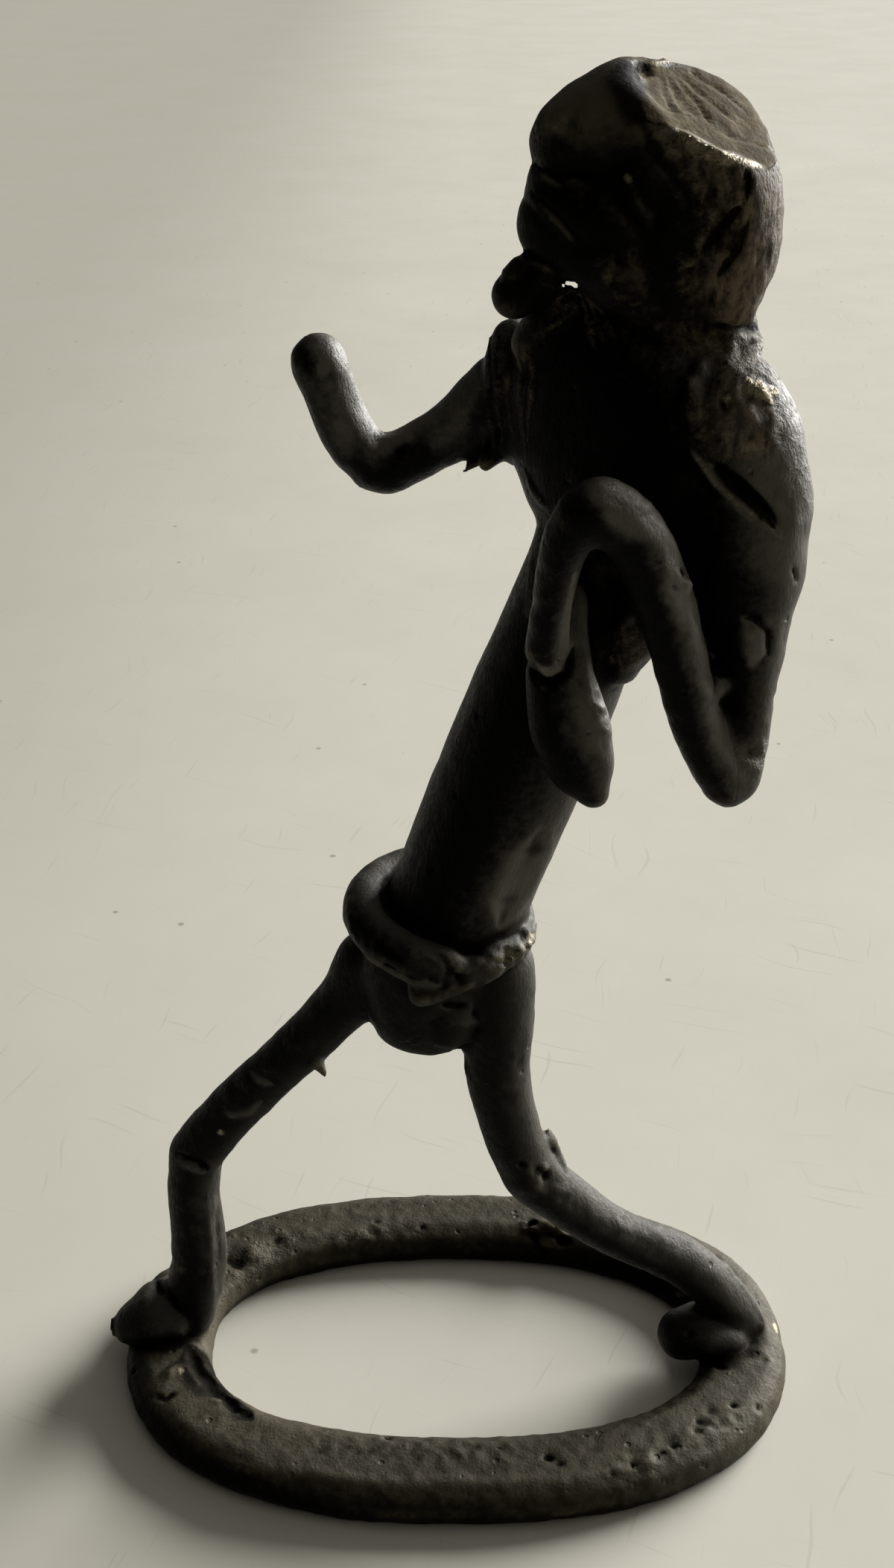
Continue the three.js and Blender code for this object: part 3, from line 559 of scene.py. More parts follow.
mark(TORN_END, wide=3.0, rise=0.55, lumps=0.6)
paint("bare", TORN_END, wide=1.6, share=0.7)
# The belt's rim and the patch above it are painted brown: painted highlights.
BELT_RIM = [(468, 1262), (500, 1290), (548, 1316), (590, 1322)]
mark(BELT_RIM, wide=0.9, rise=0.3)
paint("lit_brown", BELT_RIM, wide=1.4)
BELT_PATCH = [(474, 1206), (488, 1180), (508, 1156)]
paint("lit_brown", BELT_PATCH, wide=3.0, share=0.5)
# The belt's underside is painted black: painted shade.
BELT_UNDER = [(470, 1230), (486, 1256), (540, 1290)]
paint("black", BELT_UNDER, wide=1.6, share=0.8)
HIP_SLOT = [(590, 1348), (625, 1351)]
mark(HIP_SLOT, wide=0.9, rise=-0.6)
HIP_LIP = [(631, 1345), (625, 1362), (614, 1376)]
mark(HIP_LIP, wide=0.8, rise=0.35)
FLAP_HOLLOW = [(622, 1356), (612, 1382), (603, 1408)]
mark(FLAP_HOLLOW, wide=4.6, rise=0.8, ragged=0.1)
# The ragged corner between hips and thigh is painted black: painted shade.
RAGGED_CROTCH = [(606, 1414), (618, 1430), (632, 1448)]
mark(RAGGED_CROTCH, wide=2.4, rise=0.5, lumps=0.8)
paint("black", RAGGED_CROTCH, wide=2.0, share=0.8)


# Chest and shoulders: a thick slab, a strip pressed on the far shoulder and combed with a stick,
# a leaf under the chin, a lobe behind the trunk, and a fat rough cap on the near shoulder.

# Where the cap was smeared on, the eye gets a wrinkled olive-brown crust instead of the black.
crusty_pieces = {"left_shoulder": 0.2}
press_on("chest", BODY, smear=1.6, soften=0.9, grit=[(7.0, 0.15), (2.0, 0.05), (0.7, 0.02)])
press_on("back_lobe", BODY, smear=1.2, grit=[(2.5, 0.15), (1.0, 0.08)])
press_on("left_shoulder", BODY, smear=1.6, soften=0.9, grit=[(4.0, 0.2), (1.0, 0.06)])
STRIP_CORNER = ((676, 596), (652, 622), 2.2, 1.4)
STRIP_TIP = ((664, 604), (622, 634), 1.6, 0.35)
press_on("right_shoulder", BODY, smear=1.2, grit=[(3.0, 0.15), (1.0, 0.1)],
         spurs=[STRIP_CORNER, STRIP_TIP])
press_on("left_upper_arm", BODY, smear=1.7, soften=0.9, grit=[(6.0, 0.2), (1.6, 0.05)])
press_on("throat", BODY, smear=1.0, soften=0.3, grit=[(2.0, 0.1)])

comb_lines = {
    "strip, edge": [(656, 440), (655, 520), (662, 600)],
    "strip, second": [(668, 432), (668, 520), (675, 604)],
    "strip, third": [(682, 432), (682, 520), (690, 600)],
    "strip, last": [(696, 450), (697, 530), (706, 610)],
    "strip, inner": [(712, 470), (714, 530), (708, 590)],
    "leaf, upper": [(726, 424), (752, 398), (768, 390)],
    "leaf, middle": [(722, 436), (752, 412), (776, 396)],
    "leaf, lower": [(728, 446), (756, 428), (778, 408)],
    "tuft, left": [(776, 392), (790, 430), (800, 470)],
    "tuft, middle": [(780, 388), (800, 424), (812, 460)],
    "tuft, right": [(786, 394), (812, 424), (826, 458)],
}
for line in comb_lines.values():
    mark(line, wide=0.8, rise=0.3)
    paint("crust", line, wide=0.8, share=0.5)
STRIP_SKIN = [(684, 440), (682, 520), (690, 590)]
paint("crust", STRIP_SKIN, wide=7.0, share=0.3)
LEAF_SKIN = [(730, 430), (750, 404), (772, 390)]
paint("crust", LEAF_SKIN, wide=4.0, share=0.3)
FOLD_EDGE = [(702, 470), (704, 540), (700, 600)]
mark(FOLD_EDGE, wide=0.8, rise=0.25)
LIP_LINE = [(704, 630), (716, 660), (737, 683)]
mark(LIP_LINE, wide=0.9, rise=0.4)
paint("bare", LIP_LINE, wide=0.7, share=0.5)
SHOULDER_CRUST = [(985, 500), (1000, 560), (1030, 600)]
mark(SHOULDER_CRUST, wide=7.0, rise=0.3, lumps=1.0)
paint("crust", SHOULDER_CRUST, wide=8.0, share=0.8)
# The shoulder's front is painted brown where light falls on it: painted light.
SHOULDER_FRONT = [(972, 580), (1000, 622), (1030, 664)]
paint("lit_brown", SHOULDER_FRONT, wide=7.0, share=0.6)
shoulder_glints = {
    "left": [(1003, 506), (1010, 522), (1022, 534)], "middle": [(1018, 510), (1026, 528), (1036, 540)],
    "right": [(1034, 518), (1044, 534)], "low": [(972, 532), (980, 536)],
}
for glint in shoulder_glints.values():
    mark(glint, wide=0.9, rise=0.45)
    paint("bare", glint, wide=1.1)
PATCH_EDGE = [(946, 480), (930, 515), (924, 550), (936, 582)]
mark(PATCH_EDGE, wide=1.8, rise=0.6)
mark(PATCH_EDGE, wide=2.0, rise=0.5, lumps=0.8)
EDGE_METAL = [(927, 530), (932, 560), (938, 576)]
paint("bare", EDGE_METAL, wide=0.9, share=0.45)
# The hollow is painted black under its overhang: painted shade.
SHOULDER_HOLLOW = [(960, 626), (990, 658), (1016, 682), (1038, 708)]
mark(SHOULDER_HOLLOW, wide=1.8, rise=-0.8, ragged=0.3)
paint("black", SHOULDER_HOLLOW, wide=1.0)
# The crease's lip is painted brown and pale metal where light catches it: a painted highlight.
SHOULDER_CREASE = [(928, 606), (956, 644), (990, 674), (1022, 698), (1046, 722)]
mark(SHOULDER_CREASE, wide=1.1, rise=1.0)
paint("lit_brown", SHOULDER_CREASE, wide=1.2)
paint("bare", SHOULDER_CREASE, wide=0.8, share=0.6)
# The shoulder's side is painted brown where light falls on it: painted light, a painted sheen.
SHOULDER_SIDE = [(1010, 620), (1046, 690), (1062, 780)]
paint("lit_brown", SHOULDER_SIDE, wide=7.0, share=0.45)
# The flake is painted brown where light falls on it: painted light.
FLAKE = [(1000, 835), (1012, 860), (1008, 890)]
mark(FLAKE, wide=3.0, rise=0.4)
paint("lit_brown", FLAKE, wide=3.0, share=0.8)
FLAKE_EDGE = [(994, 832), (1012, 829), (1030, 848), (1033, 876), (1016, 896)]
mark(FLAKE_EDGE, wide=0.6, rise=-0.35)
ARM_CRACK = [(1064, 758), (1070, 784)]
mark(ARM_CRACK, wide=0.5, rise=-0.5)


# Arms and pouch: thin rods with bends at the elbow and the wrist, and a long drop of wax hung
# against the trunk. The wrist's top is painted paler where light falls on it, which is painted
# light, with a little bare metal.

# The arms' finish gives the eye the body's black, browner, with tops painted brown where light
# falls on them, which is painted light.
ARM = "arm"
finishes[ARM] = (brass("brown-black worn brass", dark="#070707", brown="#464239", mottle=4.0,
                       rough=0.46, pits=0.05, grain_height=0.16, stretch=(1.0, 1.0, 0.5)),
                 "arm_brass")
for name in ["left_forearm", "left_hand", "right_upper_arm", "right_forearm"]:
    press_on(name, ARM, smear=1.6, grit=[(5.0, 0.1), (1.3, 0.06), (0.7, 0.03)])
press_on("pouch", BODY, smear=0.9, grit=[(4.0, 0.12), (1.4, 0.04)])

# The wrist's top is painted brown where light falls on it, which is painted light, with a little bare
# metal.
WRIST_TOP = [(800, 660), (850, 668), (885, 705)]
paint("lit_brown", WRIST_TOP, wide=6.0, share=0.55)
paint("bare", WRIST_TOP, wide=3.0, share=0.25)
mark(WRIST_TOP, wide=4.0, rise=0.25, lumps=0.8)
# The forearm's right side is painted brown where light falls on it: painted light.
FOREARM_FLAT = [(900, 740), (925, 800), (942, 870)]
mark(FOREARM_FLAT, wide=3.0, rise=0.4, lumps=0.9)
paint("lit_brown", FOREARM_FLAT, wide=3.0, share=0.6)
FOREARM_BURR = [(955, 880)]
mark(FOREARM_BURR, wide=0.9, rise=0.4)
paint("bare", FOREARM_BURR, wide=0.8)
ELBOW_WEB = [(957, 885), (960, 910), (962, 935)]
mark(ELBOW_WEB, wide=3.4, rise=0.9)
# The far elbow, hand, arm top and forearm edge are painted brown where light falls on them: painted
# light. The far elbow has a little bare metal too.
FAR_ELBOW = [(524, 572), (548, 586)]
paint("lit_brown", FAR_ELBOW, wide=4.0)
paint("bare", FAR_ELBOW, wide=2.0, share=0.5)
FAR_HAND_TOP = [(432, 470), (452, 480)]
paint("lit_brown", FAR_HAND_TOP, wide=5.0, share=0.6)
FAR_ARM_TOP = [(560, 570), (600, 545), (650, 500)]
paint("lit_brown", FAR_ARM_TOP, wide=7.0, share=0.7)
FAR_FOREARM_EDGE = [(400, 500), (425, 560), (462, 612)]
paint("lit_brown", FAR_FOREARM_EDGE, wide=5.0, share=0.6)
# The elbow's fold and tip are painted brown where light falls on them, which is painted light; the fold
# is crusted too.
ELBOW_FOLD = [(990, 1010), (1015, 1022), (1034, 1000)]
mark(ELBOW_FOLD, wide=3.6, rise=0.25, lumps=0.9)
paint("lit_brown", ELBOW_FOLD, wide=4.0, share=0.4)
paint("crust", ELBOW_FOLD, wide=4.0, share=0.45)
ELBOW_TIP = [(975, 1062), (1010, 1070), (1035, 1050)]
paint("lit_brown", ELBOW_TIP, wide=3.6, share=0.1)
# The hand's edge and tip are painted brown where light catches them: painted highlights.
HAND_EDGE = [(716, 740), (710, 820), (718, 890)]
mark(HAND_EDGE, wide=0.8, rise=0.3)
paint("lit_brown", HAND_EDGE, wide=1.0, share=0.8)
HAND_TIP = [(712, 870), (722, 896), (736, 905), (752, 896), (760, 870), (764, 820), (772, 770)]
mark(HAND_TIP, wide=0.9, rise=0.4)
paint("lit_brown", HAND_TIP, wide=1.1, share=0.9)
HAND_SHADOW = [(712, 898), (734, 918), (760, 904), (770, 868)]
mark(HAND_SHADOW, wide=1.2, rise=-0.6)
paint("black", HAND_SHADOW, wide=1.0, share=0.6)
POUCH_STRIP = [(776, 865), (778, 900), (782, 938)]
mark(POUCH_STRIP, wide=1.8, rise=-0.2)
# The pouch's side is painted brown where light falls on it: painted light.
POUCH_SIDE = [(796, 910), (808, 960), (818, 1010)]
mark(POUCH_SIDE, wide=3.0, rise=0.25, lumps=0.6)
paint("lit_brown", POUCH_SIDE, wide=4.6, share=0.6)
arm_grain = {
    "forearm": [(880, 700), (905, 780), (940, 880), (985, 980)],
    "upper arm": [(1060, 800), (1052, 900), (1030, 980)],
    "hand": [(740, 720), (732, 800), (738, 870)],
    "far arm": [(620, 540), (550, 590), (480, 610)], "far forearm": [(450, 590), (420, 520), (410, 480)],
    "pouch": [(740, 940), (768, 1000), (798, 1050)],
}
for line in arm_grain.values():
    mark(line, wide=5.0, rise=0.1, lumps=0.85)
LOBE_SKIN = [(838, 846), (846, 896)]
paint("crust", LOBE_SKIN, wide=7.0, share=0.45)
# The lobe's ribs are painted brown where light catches them: painted highlights.
lobe_lines = {
    "top": [(826, 842), (850, 832)], "second": [(822, 860), (856, 846)],
    "third": [(820, 880), (860, 864)], "last": [(824, 900), (860, 886)],
}
for line in lobe_lines.values():
    mark(line, wide=0.7, rise=0.3)
    paint("lit_brown", line, wide=1.2, share=0.6)


# Head: a thick lump with a slab of hair pressed on behind, four lobes pinched on for the face
# and a ridge for each ear. Hair and skull were sawn off flat with the sprue; the cut is paler.

# The head's finish gives the eye an olive-black skin, painted golden brown on top as painted light;
# hair and neck carry the same crust as the near shoulder.
HEAD = "head"
finishes[HEAD] = (brass("olive-black patinated brass", dark="#070706", brown="#3e392d", mottle=4.0,
                        rough=0.54, pits=0.04, grain_height=0.14, gloss=0.1,
                        stretch=(1.0, 1.0, 0.5)), "head_brass")
crusty_pieces.update(neck=0.9, hair=0.35)
press_on("neck", HEAD, smear=1.4, grit=[(3.0, 0.12), (1.2, 0.05)])
press_on("hair", HEAD, smear=1.0, grit=[(4.0, 0.2), (1.1, 0.08)])
press_on("skull", HEAD, smear=1.2, grit=[(5.0, 0.15), (1.4, 0.05)])
for name in ["brow", "eye_fold", "nose", "jaw"]:
    press_on(name, HEAD, smear=1.5, swell=0.2, grit=[(3.0, 0.1), (1.2, 0.05)])


# The rub is whole on the pieces and fades out over about that much beside them.
RUB_FADE = 1.2


def rubbed_over(names, soften, swell):
    """Rubs a finger over those pieces, so that only shallow valleys stay between them."""
    blocks = [pressed[name][0] for name in names]
    part = tuple(slice(min(each[n].start for each in blocks), max(each[n].stop for each in blocks))
                 for n in range(3))
    close = np.full([side.stop - side.start for side in part], REACH, np.float32)
    for name in names:
        inner = tuple(slice(side.start - whole.start, side.stop - whole.start)
                      for side, whole in zip(pressed[name][0], part))
        close[inner] = np.minimum(close[inner], pressed[name][1])
    even = softened(wax[part], soften) - swell
    share = np.clip(RUB_FADE - close / RUB_FADE, 0, 1)
    wax[part] += share * (np.minimum(even, 2 * REACH) - np.minimum(wax[part], 2 * REACH))


rubbed_over(["brow", "eye_fold", "nose"], soften=1.1, swell=0.3)
press_on("chin", HEAD, smear=0.6, soften=0.5, swell=0.2, grit=[(3.0, 0.1), (1.2, 0.04)])
for name in ["left_ear", "right_ear"]:
    press_on(name, HEAD, smear=1.2, soften=0.5, swell=-0.35, grit=[(0.9, 0.3)])

face_creases = {
    "under the brow": [(706, 213), (730, 232), (756, 247)],
    "under the eye": [(712, 254), (745, 288), (780, 325)],
    "under the nose": [(700, 331), (720, 348), (742, 358), (770, 366)],
}
for crease in face_creases.values():
    mark(crease, wide=0.7, rise=-0.3)
# The lips of the face's creases are painted brown where light catches them: painted highlights.
face_lips = {
    "under the brow": [(712, 224), (730, 239), (752, 252)],
    "under the eye": [(710, 262), (742, 296), (776, 332)],
    "under the nose": [(702, 340), (720, 356), (742, 366)],
}
for lip in face_lips.values():
    mark(lip, wide=0.8, rise=0.25)
    paint("lit_brown", lip, wide=0.7, share=0.6)
# The streak by the ear is painted brown where light catches its edge: a painted highlight.
EAR_STREAK = [(840, 232), (849, 260), (862, 288), (877, 314)]
mark(EAR_STREAK, wide=0.9, rise=0.25, ragged=0.6)
paint("lit_brown", EAR_STREAK, wide=0.8, share=0.4)
EAR_GLINT = [(841, 233), (846, 246)]
paint("bare", EAR_GLINT, wide=1.0, share=0.8)
CHIN_ROOT = [(702, 344), (688, 362), (676, 378)]
mark(CHIN_ROOT, wide=3.0, rise=0.6)

# A stick pushed through the wax along the line of sight leaves the gap behind the chin.
CHIN_GAP = [(756, 383), (762, 380), (769, 381), (774, 384)]
GAP_WIDTH = 0.45

# The face's right side is painted with crust, partly for its rough crust and partly as painted light on
# the side that faces the light.
FACE_SIDE = [(885, 165), (930, 205), (966, 250), (976, 310), (960, 350)]
paint("crust", FACE_SIDE, wide=5.0, share=0.6)
CHEEK_CRUST = [(804, 352), (832, 384), (852, 436)]
paint("crust", CHEEK_CRUST, wide=7.0, share=0.3)
BROW_SIDE = [(716, 196), (736, 164), (764, 140)]
paint("crust", BROW_SIDE, wide=8.0, share=0.25)
# The brow's top is painted brown: painted light.
BROW_TOP = [(735, 165), (780, 130), (830, 105), (870, 100)]
paint("lit_brown", BROW_TOP, wide=10.0)
# The hair's right side, its edge and the neck's side are painted with crust, partly for their crust and
# partly as painted light, warm on the side that faces the light.
HAIR_SIDE = [(1000, 240), (1028, 270), (1030, 330), (1008, 390), (995, 440)]
paint("crust", HAIR_SIDE, wide=9.0)
HAIR_EDGE = [(1042, 240), (1045, 320), (1034, 400)]
paint("crust", HAIR_EDGE, wide=7.0, share=0.8)
NECK_SIDE = [(1008, 452), (1020, 478), (1036, 508)]
paint("crust", NECK_SIDE, wide=6.0, share=0.9)
CHEEK_LUMP = [(810, 356), (840, 372)]
mark(CHEEK_LUMP, wide=4.0, rise=0.3, lumps=1.1)
CUT_FACE = [(896, 116), (950, 150), (1010, 190)]
mark(CUT_FACE, wide=7.0, rise=0.1, lumps=1.5)
CUT_METAL = [(884, 104), (940, 140), (1015, 200)]
paint("sawn", CUT_METAL, wide=16.0)
# The streaks in the cut are painted black: painted shade in their grooves.
cut_streaks = {
    "first": [(888, 100), (894, 128), (906, 160)], "second": [(894, 98), (908, 132), (928, 166)],
    "third": [(898, 104), (918, 138), (934, 160)], "fourth": [(902, 100), (934, 136), (960, 178)],
    "fifth": [(906, 96), (956, 138), (1000, 176)], "sixth": [(912, 92), (968, 122), (1012, 160)],
    "seventh": [(960, 176), (1004, 190), (1040, 206)],
}
for line in cut_streaks.values():
    mark(line, wide=0.7, rise=-0.24)
    paint("black", line, wide=0.6, share=0.5)
# The pocket by the crest is painted black: painted shade.
CREST_POCKET = [(856, 96), (864, 92), (874, 94)]
mark(CREST_POCKET, wide=1.6, rise=-0.6)
paint("black", CREST_POCKET, wide=1.6)
# The gashes in the cut are painted black: painted shade in their grooves.
cut_gashes = {"left": [(897, 138), (909, 153)], "right": [(926, 136), (937, 161)]}
for gash in cut_gashes.values():
    mark(gash, wide=0.6, rise=-0.2)
    paint("black", gash, wide=0.6, share=0.7)
CREST_LIP = [(868, 84), (884, 86), (900, 80)]
mark(CREST_LIP, wide=0.9, rise=0.4)
paint("bare", CREST_LIP, wide=0.8, share=0.7)
# The crest's ridge is painted black, so that it stays dark though it faces the window: painted shade.
CREST_RIDGE = [(842, 84), (848, 110), (862, 138), (886, 160)]
paint("black", CREST_RIDGE, wide=3.6, share=0.9)
CREST_PIT = [(930, 92), (936, 102)]
mark(CREST_PIT, wide=0.6, rise=-0.25)
CUT_RIM = [(860, 147), (872, 168), (900, 175), (930, 190), (965, 210), (997, 220), (1037, 227)]
mark(CUT_RIM, wide=1.3, rise=0.45)
mark(CUT_RIM, wide=1.6, rise=0.35, lumps=0.8)
RIM_BURR = [(908, 174), (936, 190), (968, 206), (1020, 222)]
mark(RIM_BURR, wide=1.1, rise=0.35, ragged=0.5)
paint("bare", RIM_BURR, wide=1.9)
FACE_RIM = [(862, 158), (882, 190), (915, 222), (941, 258), (943, 310), (926, 350), (900, 366)]
mark(FACE_RIM, wide=1.8, rise=0.5)
mark(FACE_RIM, wide=2.0, rise=0.6, lumps=0.9)
# The creases in the hair are painted black: painted shade.
hair_creases = {
    "pocket, upper": [(940, 342), (970, 302), (1005, 264)],
    "pocket, lower": [(962, 372), (990, 336), (1007, 288)],
    "collar": [(955, 434), (990, 442), (1022, 440)],
}
for crease in hair_creases.values():
    mark(crease, wide=1.0, rise=-0.6)
    paint("black", crease, wide=0.8, share=0.7)
# The pocket in the hair is painted black: painted shade.
POCKET = [(962, 338), (992, 300)]
mark(POCKET, wide=2.6, rise=-0.5)
paint("black", POCKET, wide=2.4, share=0.4)
POCKET_LIP = [(948, 350), (976, 316), (1010, 276)]
mark(POCKET_LIP, wide=0.8, rise=0.4)
# The notch in the hair is painted black: painted shade.
HAIR_NOTCH = [(1002, 226), (1003, 266)]
mark(HAIR_NOTCH, wide=0.6, rise=-0.5)
paint("black", HAIR_NOTCH, wide=0.6)
hair_streaks = {
    "first": [(958, 380), (956, 430)], "second": [(975, 385), (972, 436)],
    "third": [(990, 360), (988, 428)], "fourth": [(1004, 340), (1003, 410)],
    "fifth": [(1018, 320), (1016, 400)], "sixth": [(1031, 290), (1029, 360)],
    "seventh": [(1042, 252), (1043, 320)], "eighth": [(958, 268), (966, 240)],
    "ninth": [(930, 214), (946, 236)],
}
for streak in hair_streaks.values():
    mark(streak, wide=0.7, rise=-0.16)
NECK_CRUST = [(960, 470), (1000, 475), (1030, 470)]
mark(NECK_CRUST, wide=3.6, rise=0.12, lumps=0.9)
NECK_FILL = [(1014, 450), (1019, 470)]
mark(NECK_FILL, wide=5.0, rise=0.3, ragged=0.0)
HAIR_TAPER = [(1046, 366), (1038, 410), (1030, 440)]
mark(HAIR_TAPER, wide=7.0, rise=-0.8, ragged=0.1)
BROW_MOTTLE = [(740, 175), (800, 160)]
mark(BROW_MOTTLE, wide=5.0, rise=0.2, lumps=1.2)


# Pouring: the wax model turns to brass in one piece, with the mould's grain on it and the marks
# of the tools. Each piece of wax is a mesh; neighbours run on under each other at their seams.

GRAIN_CELLS = 32


def grain(points, size, seed):
    """Smooth random values from -1 to 1 that change over about `size` millimetres."""
    cube = (GRAIN_CELLS, GRAIN_CELLS, GRAIN_CELLS)
    table = np.random.default_rng(seed).uniform(-1, 1, cube).astype(np.float32)
    place = points / size
    base = np.floor(place).astype(int)
    rest = place - base
    rest = rest * rest * (3 - 2 * rest)
    value = 0
    for corner in np.ndindex(2, 2, 2):
        i, j, k = ((base[..., n] + corner[n]) % GRAIN_CELLS for n in range(3))
        share = np.prod([rest[..., n] if corner[n] else 1 - rest[..., n] for n in range(3)], axis=0)
        value = value + share * table[i, j, k]
    return value


def past_seam(name):
    """How far each point of the piece's block lies past its seam, in the neighbour's wax."""
    part, form = pressed[name]
    others = np.where(form <= nearest[part], second[part], nearest[part])
    return (form - others) / 2


def sampled(field, points):
    """The field's value at any points, between its grid points."""
    place = (points - grid_low) / STEP
    base = np.clip(np.floor(place).astype(int), 0, grid_shape - 2)
    rest = place - base
    value = 0
    for corner in np.ndindex(2, 2, 2):
        share = np.prod([rest[:, n] if corner[n] else 1 - rest[:, n] for n in range(3)], axis=0)
        value = value + share * field[tuple((base + corner).T)]
    return value


# The figure lies between these distances from the eye.
NEAR_SIDE = 110
FAR_SIDE = 230


def on_skin(pixels):
    """The points of the figure's skin that show at the photograph's pixels."""
    found = []
    for pixel in pixels:
        line = EYE + np.arange(NEAR_SIDE, FAR_SIDE, STEP / 2)[:, None] * sight(*pixel)
        depth = sampled(wax, line)
        hit = np.argmax(depth < 0) if (depth < 0).any() else np.argmin(depth)
        found.append(line[hit])
    return np.array(found)


# A stroke has this share of its width at its two ends, and swells to the whole of it this fast.
STROKE_END = 0.3
STROKE_SWELL = 3


def tapered(share, line):
    """How full a stroke is along its line: thin at both ends, and full in between or as a dot."""
    if len(line) == 1:
        return 1
    return np.minimum(1, STROKE_END + STROKE_SWELL * np.minimum(share, 1 - share))


# The mould's grain goes on first, then the tools' marks in the order in which they were drawn. The
# seed of a mark's random values comes from where it starts, so that it keeps its shape when other
# marks change. GRAIN_DEPTH is how far the grain reaches from the skin, LEAST_RAG how fine rags get.
GRAIN_DEPTH = 1.0
LEAST_RAG = 0.8

for name, (part, _) in pressed.items():
    share = np.clip(0.5 - past_seam(name), 0, 1)
    cells = (np.abs(wax[part]) < GRAIN_DEPTH) & (share > 0)
    places = places_in(part)[cells]
    rise = np.zeros(len(places))
    for size, height in surfaces[name][1]:
        rise += height * grain(places, size, int(size * 10))
    wax[part][cells] -= rise * share[cells]

for pixels, wide, rise, ragged, lumps in tool_marks:
    seed = 3 * pixels[0][0] + pixels[0][1]
    line = on_skin(pixels)
    part = block(line.min(axis=0), line.max(axis=0), wide)
    places = places_in(part)
    far, share = along_line(places, line)
    near = far < wide
    places, far, share = places[near], far[near], share[near]
    thin = tapered(share, line)
    radius = wide / 2 * thin * (1 + ragged * grain(places, max(LEAST_RAG, wide / 2), seed))
    profile = thin * np.clip(1 - (far / radius) ** 2, 0, 1) ** 2
    if lumps:
        profile *= grain(places, lumps, seed + 1)
    wax[part][near] -= rise * profile

# The stick that made the gap behind the chin reached this far before and behind the skin.
STICK_BEFORE = [6, 6, 8]
STICK_BEHIND = [6, 30, 4]
STICK_LONG = 300

for pixel, skin in zip(CHIN_GAP, on_skin(CHIN_GAP)):
    part = block(skin - STICK_BEFORE, skin + STICK_BEHIND, 0)
    far = along_line(places_in(part), [EYE, EYE + STICK_LONG * sight(*pixel)])[0]
    wax[part] = np.maximum(wax[part], GAP_WIDTH / 2 - far)

# The ring's underside is flat on the table.
heights = (grid_low[2] + STEP * np.arange(grid_shape[2])).astype(np.float32)
wax = np.maximum(wax, -heights)


def skin_of(field, low):
    """Corners and four-sided faces over the zero level of a block."""
    inside = field < 0
    mixed = np.zeros([n - 1 for n in field.shape], np.int8)
    for corner in np.ndindex(2, 2, 2):
        mixed += inside[tuple(slice(corner[n], field.shape[n] - 1 + corner[n]) for n in range(3))]
    cells = np.argwhere((mixed > 0) & (mixed < 8))
    total = np.zeros((len(cells), 3))
    count = np.zeros(len(cells))
    for axis in range(3):
        for corner in np.ndindex(2, 2):
            start = np.insert(np.array(corner), axis, 0)
            end = np.insert(np.array(corner), axis, 1)
            a = field[tuple((cells + start).T)]
            b = field[tuple((cells + end).T)]
            cross = (a < 0) != (b < 0)
            share = np.where(cross, a / np.where(cross, a - b, 1), 0)
            total += np.where(cross[:, None], start + share[:, None] * (end - start), 0)
            count += cross
    points = low + STEP * (cells + total / count[:, None])
    index = np.full(mixed.shape, -1)
    index[tuple(cells.T)] = np.arange(len(cells))
    faces = []
    for axis in range(3):
        one, two = (axis + 1) % 3, (axis + 2) % 3
        side, other_side = np.eye(3, dtype=int)[[one, two]]
        ends = np.argwhere(np.diff(inside, axis=axis))
        ends = ends[(ends[:, one] > 0) & (ends[:, two] > 0)]
        shifts = (side + other_side, other_side, 0 * side, side)
        quads = np.stack([index[tuple((ends - shift).T)] for shift in shifts], axis=1)
        leaving = inside[tuple(ends.T)]
        faces.append(np.where(leaving[:, None], quads, quads[:, ::-1]))
    return points, np.concatenate(faces)


def largest_island(points, faces):
    """The points and faces of the largest connected skin; crumbs are dropped."""
    label = np.arange(len(points))
    while True:
        lowest = label[faces].min(axis=1)
        new = label.copy()
        np.minimum.at(new, faces.ravel(), np.repeat(lowest, 4))
        new = new[new]
        if (new == label).all():
            break
        label = new
    owner = label[faces[:, 0]]
    keep = faces[owner == np.bincount(owner).argmax()]
    used, keep = np.unique(keep, return_inverse=True)
    return points[used], keep.reshape(-1, 4)


def facing(points):
    """Which way the brass faces at its skin, from the field, so that no seam shows."""
    away = np.stack([sampled(wax, points + step) - sampled(wax, points - step)
                     for step in STEP * np.eye(3)], axis=1)
    return away / np.maximum(np.linalg.norm(away, axis=1), TINY)[:, None]


# Ridges and hollows of about WEAR_SIZE wear bare or stay black. The crust of a piece fades out
# round its seam, and the skin is painted brown on its upper right side, which faces the light:
# painted light.
WEAR_SIZE = 0.8
WEAR_HEIGHT = 0.3
CRUST_FADE = 1.0
LIT_SIDE_WAY = np.array([0.76, 0.0, 0.65])

soft = box_mean(wax, steps(WEAR_SIZE))
crust_field = np.zeros(grid_shape, np.float32)
for name, share in crusty_pieces.items():
    part = pressed[name][0]
    crust_field[part] = np.maximum(crust_field[part],
                                   share * np.clip(0.5 - past_seam(name) / 2, 0, 1))
crust_field = box_mean(crust_field, steps(CRUST_FADE))
skin_strokes = {kind: [(on_skin(pixels), wide, share) for pixels, wide, share in drawn]
                for kind, drawn in strokes.items()}


def painted_over(points, kind):
    """How much of the points' skin that kind of stroke covers, from 0 to 1."""
    cover = np.zeros(len(points))
    for line, wide, share in skin_strokes[kind]:
        far, run = along_line(points, line)
        cover = np.maximum(cover, share * np.exp(-(2 * far / (wide * tapered(run, line))) ** 2))
    return cover


# The sawn face shows where the skin looks the same way as the cut, within CUT_TURN. Each piece
# runs on under its neighbours past the seam by RUN_ON, and sinks under them by SINK of the way.
CUT_TURN = 0.72
CUT_FADE = 0.15
RUN_ON = 1.5
SINK = 0.45

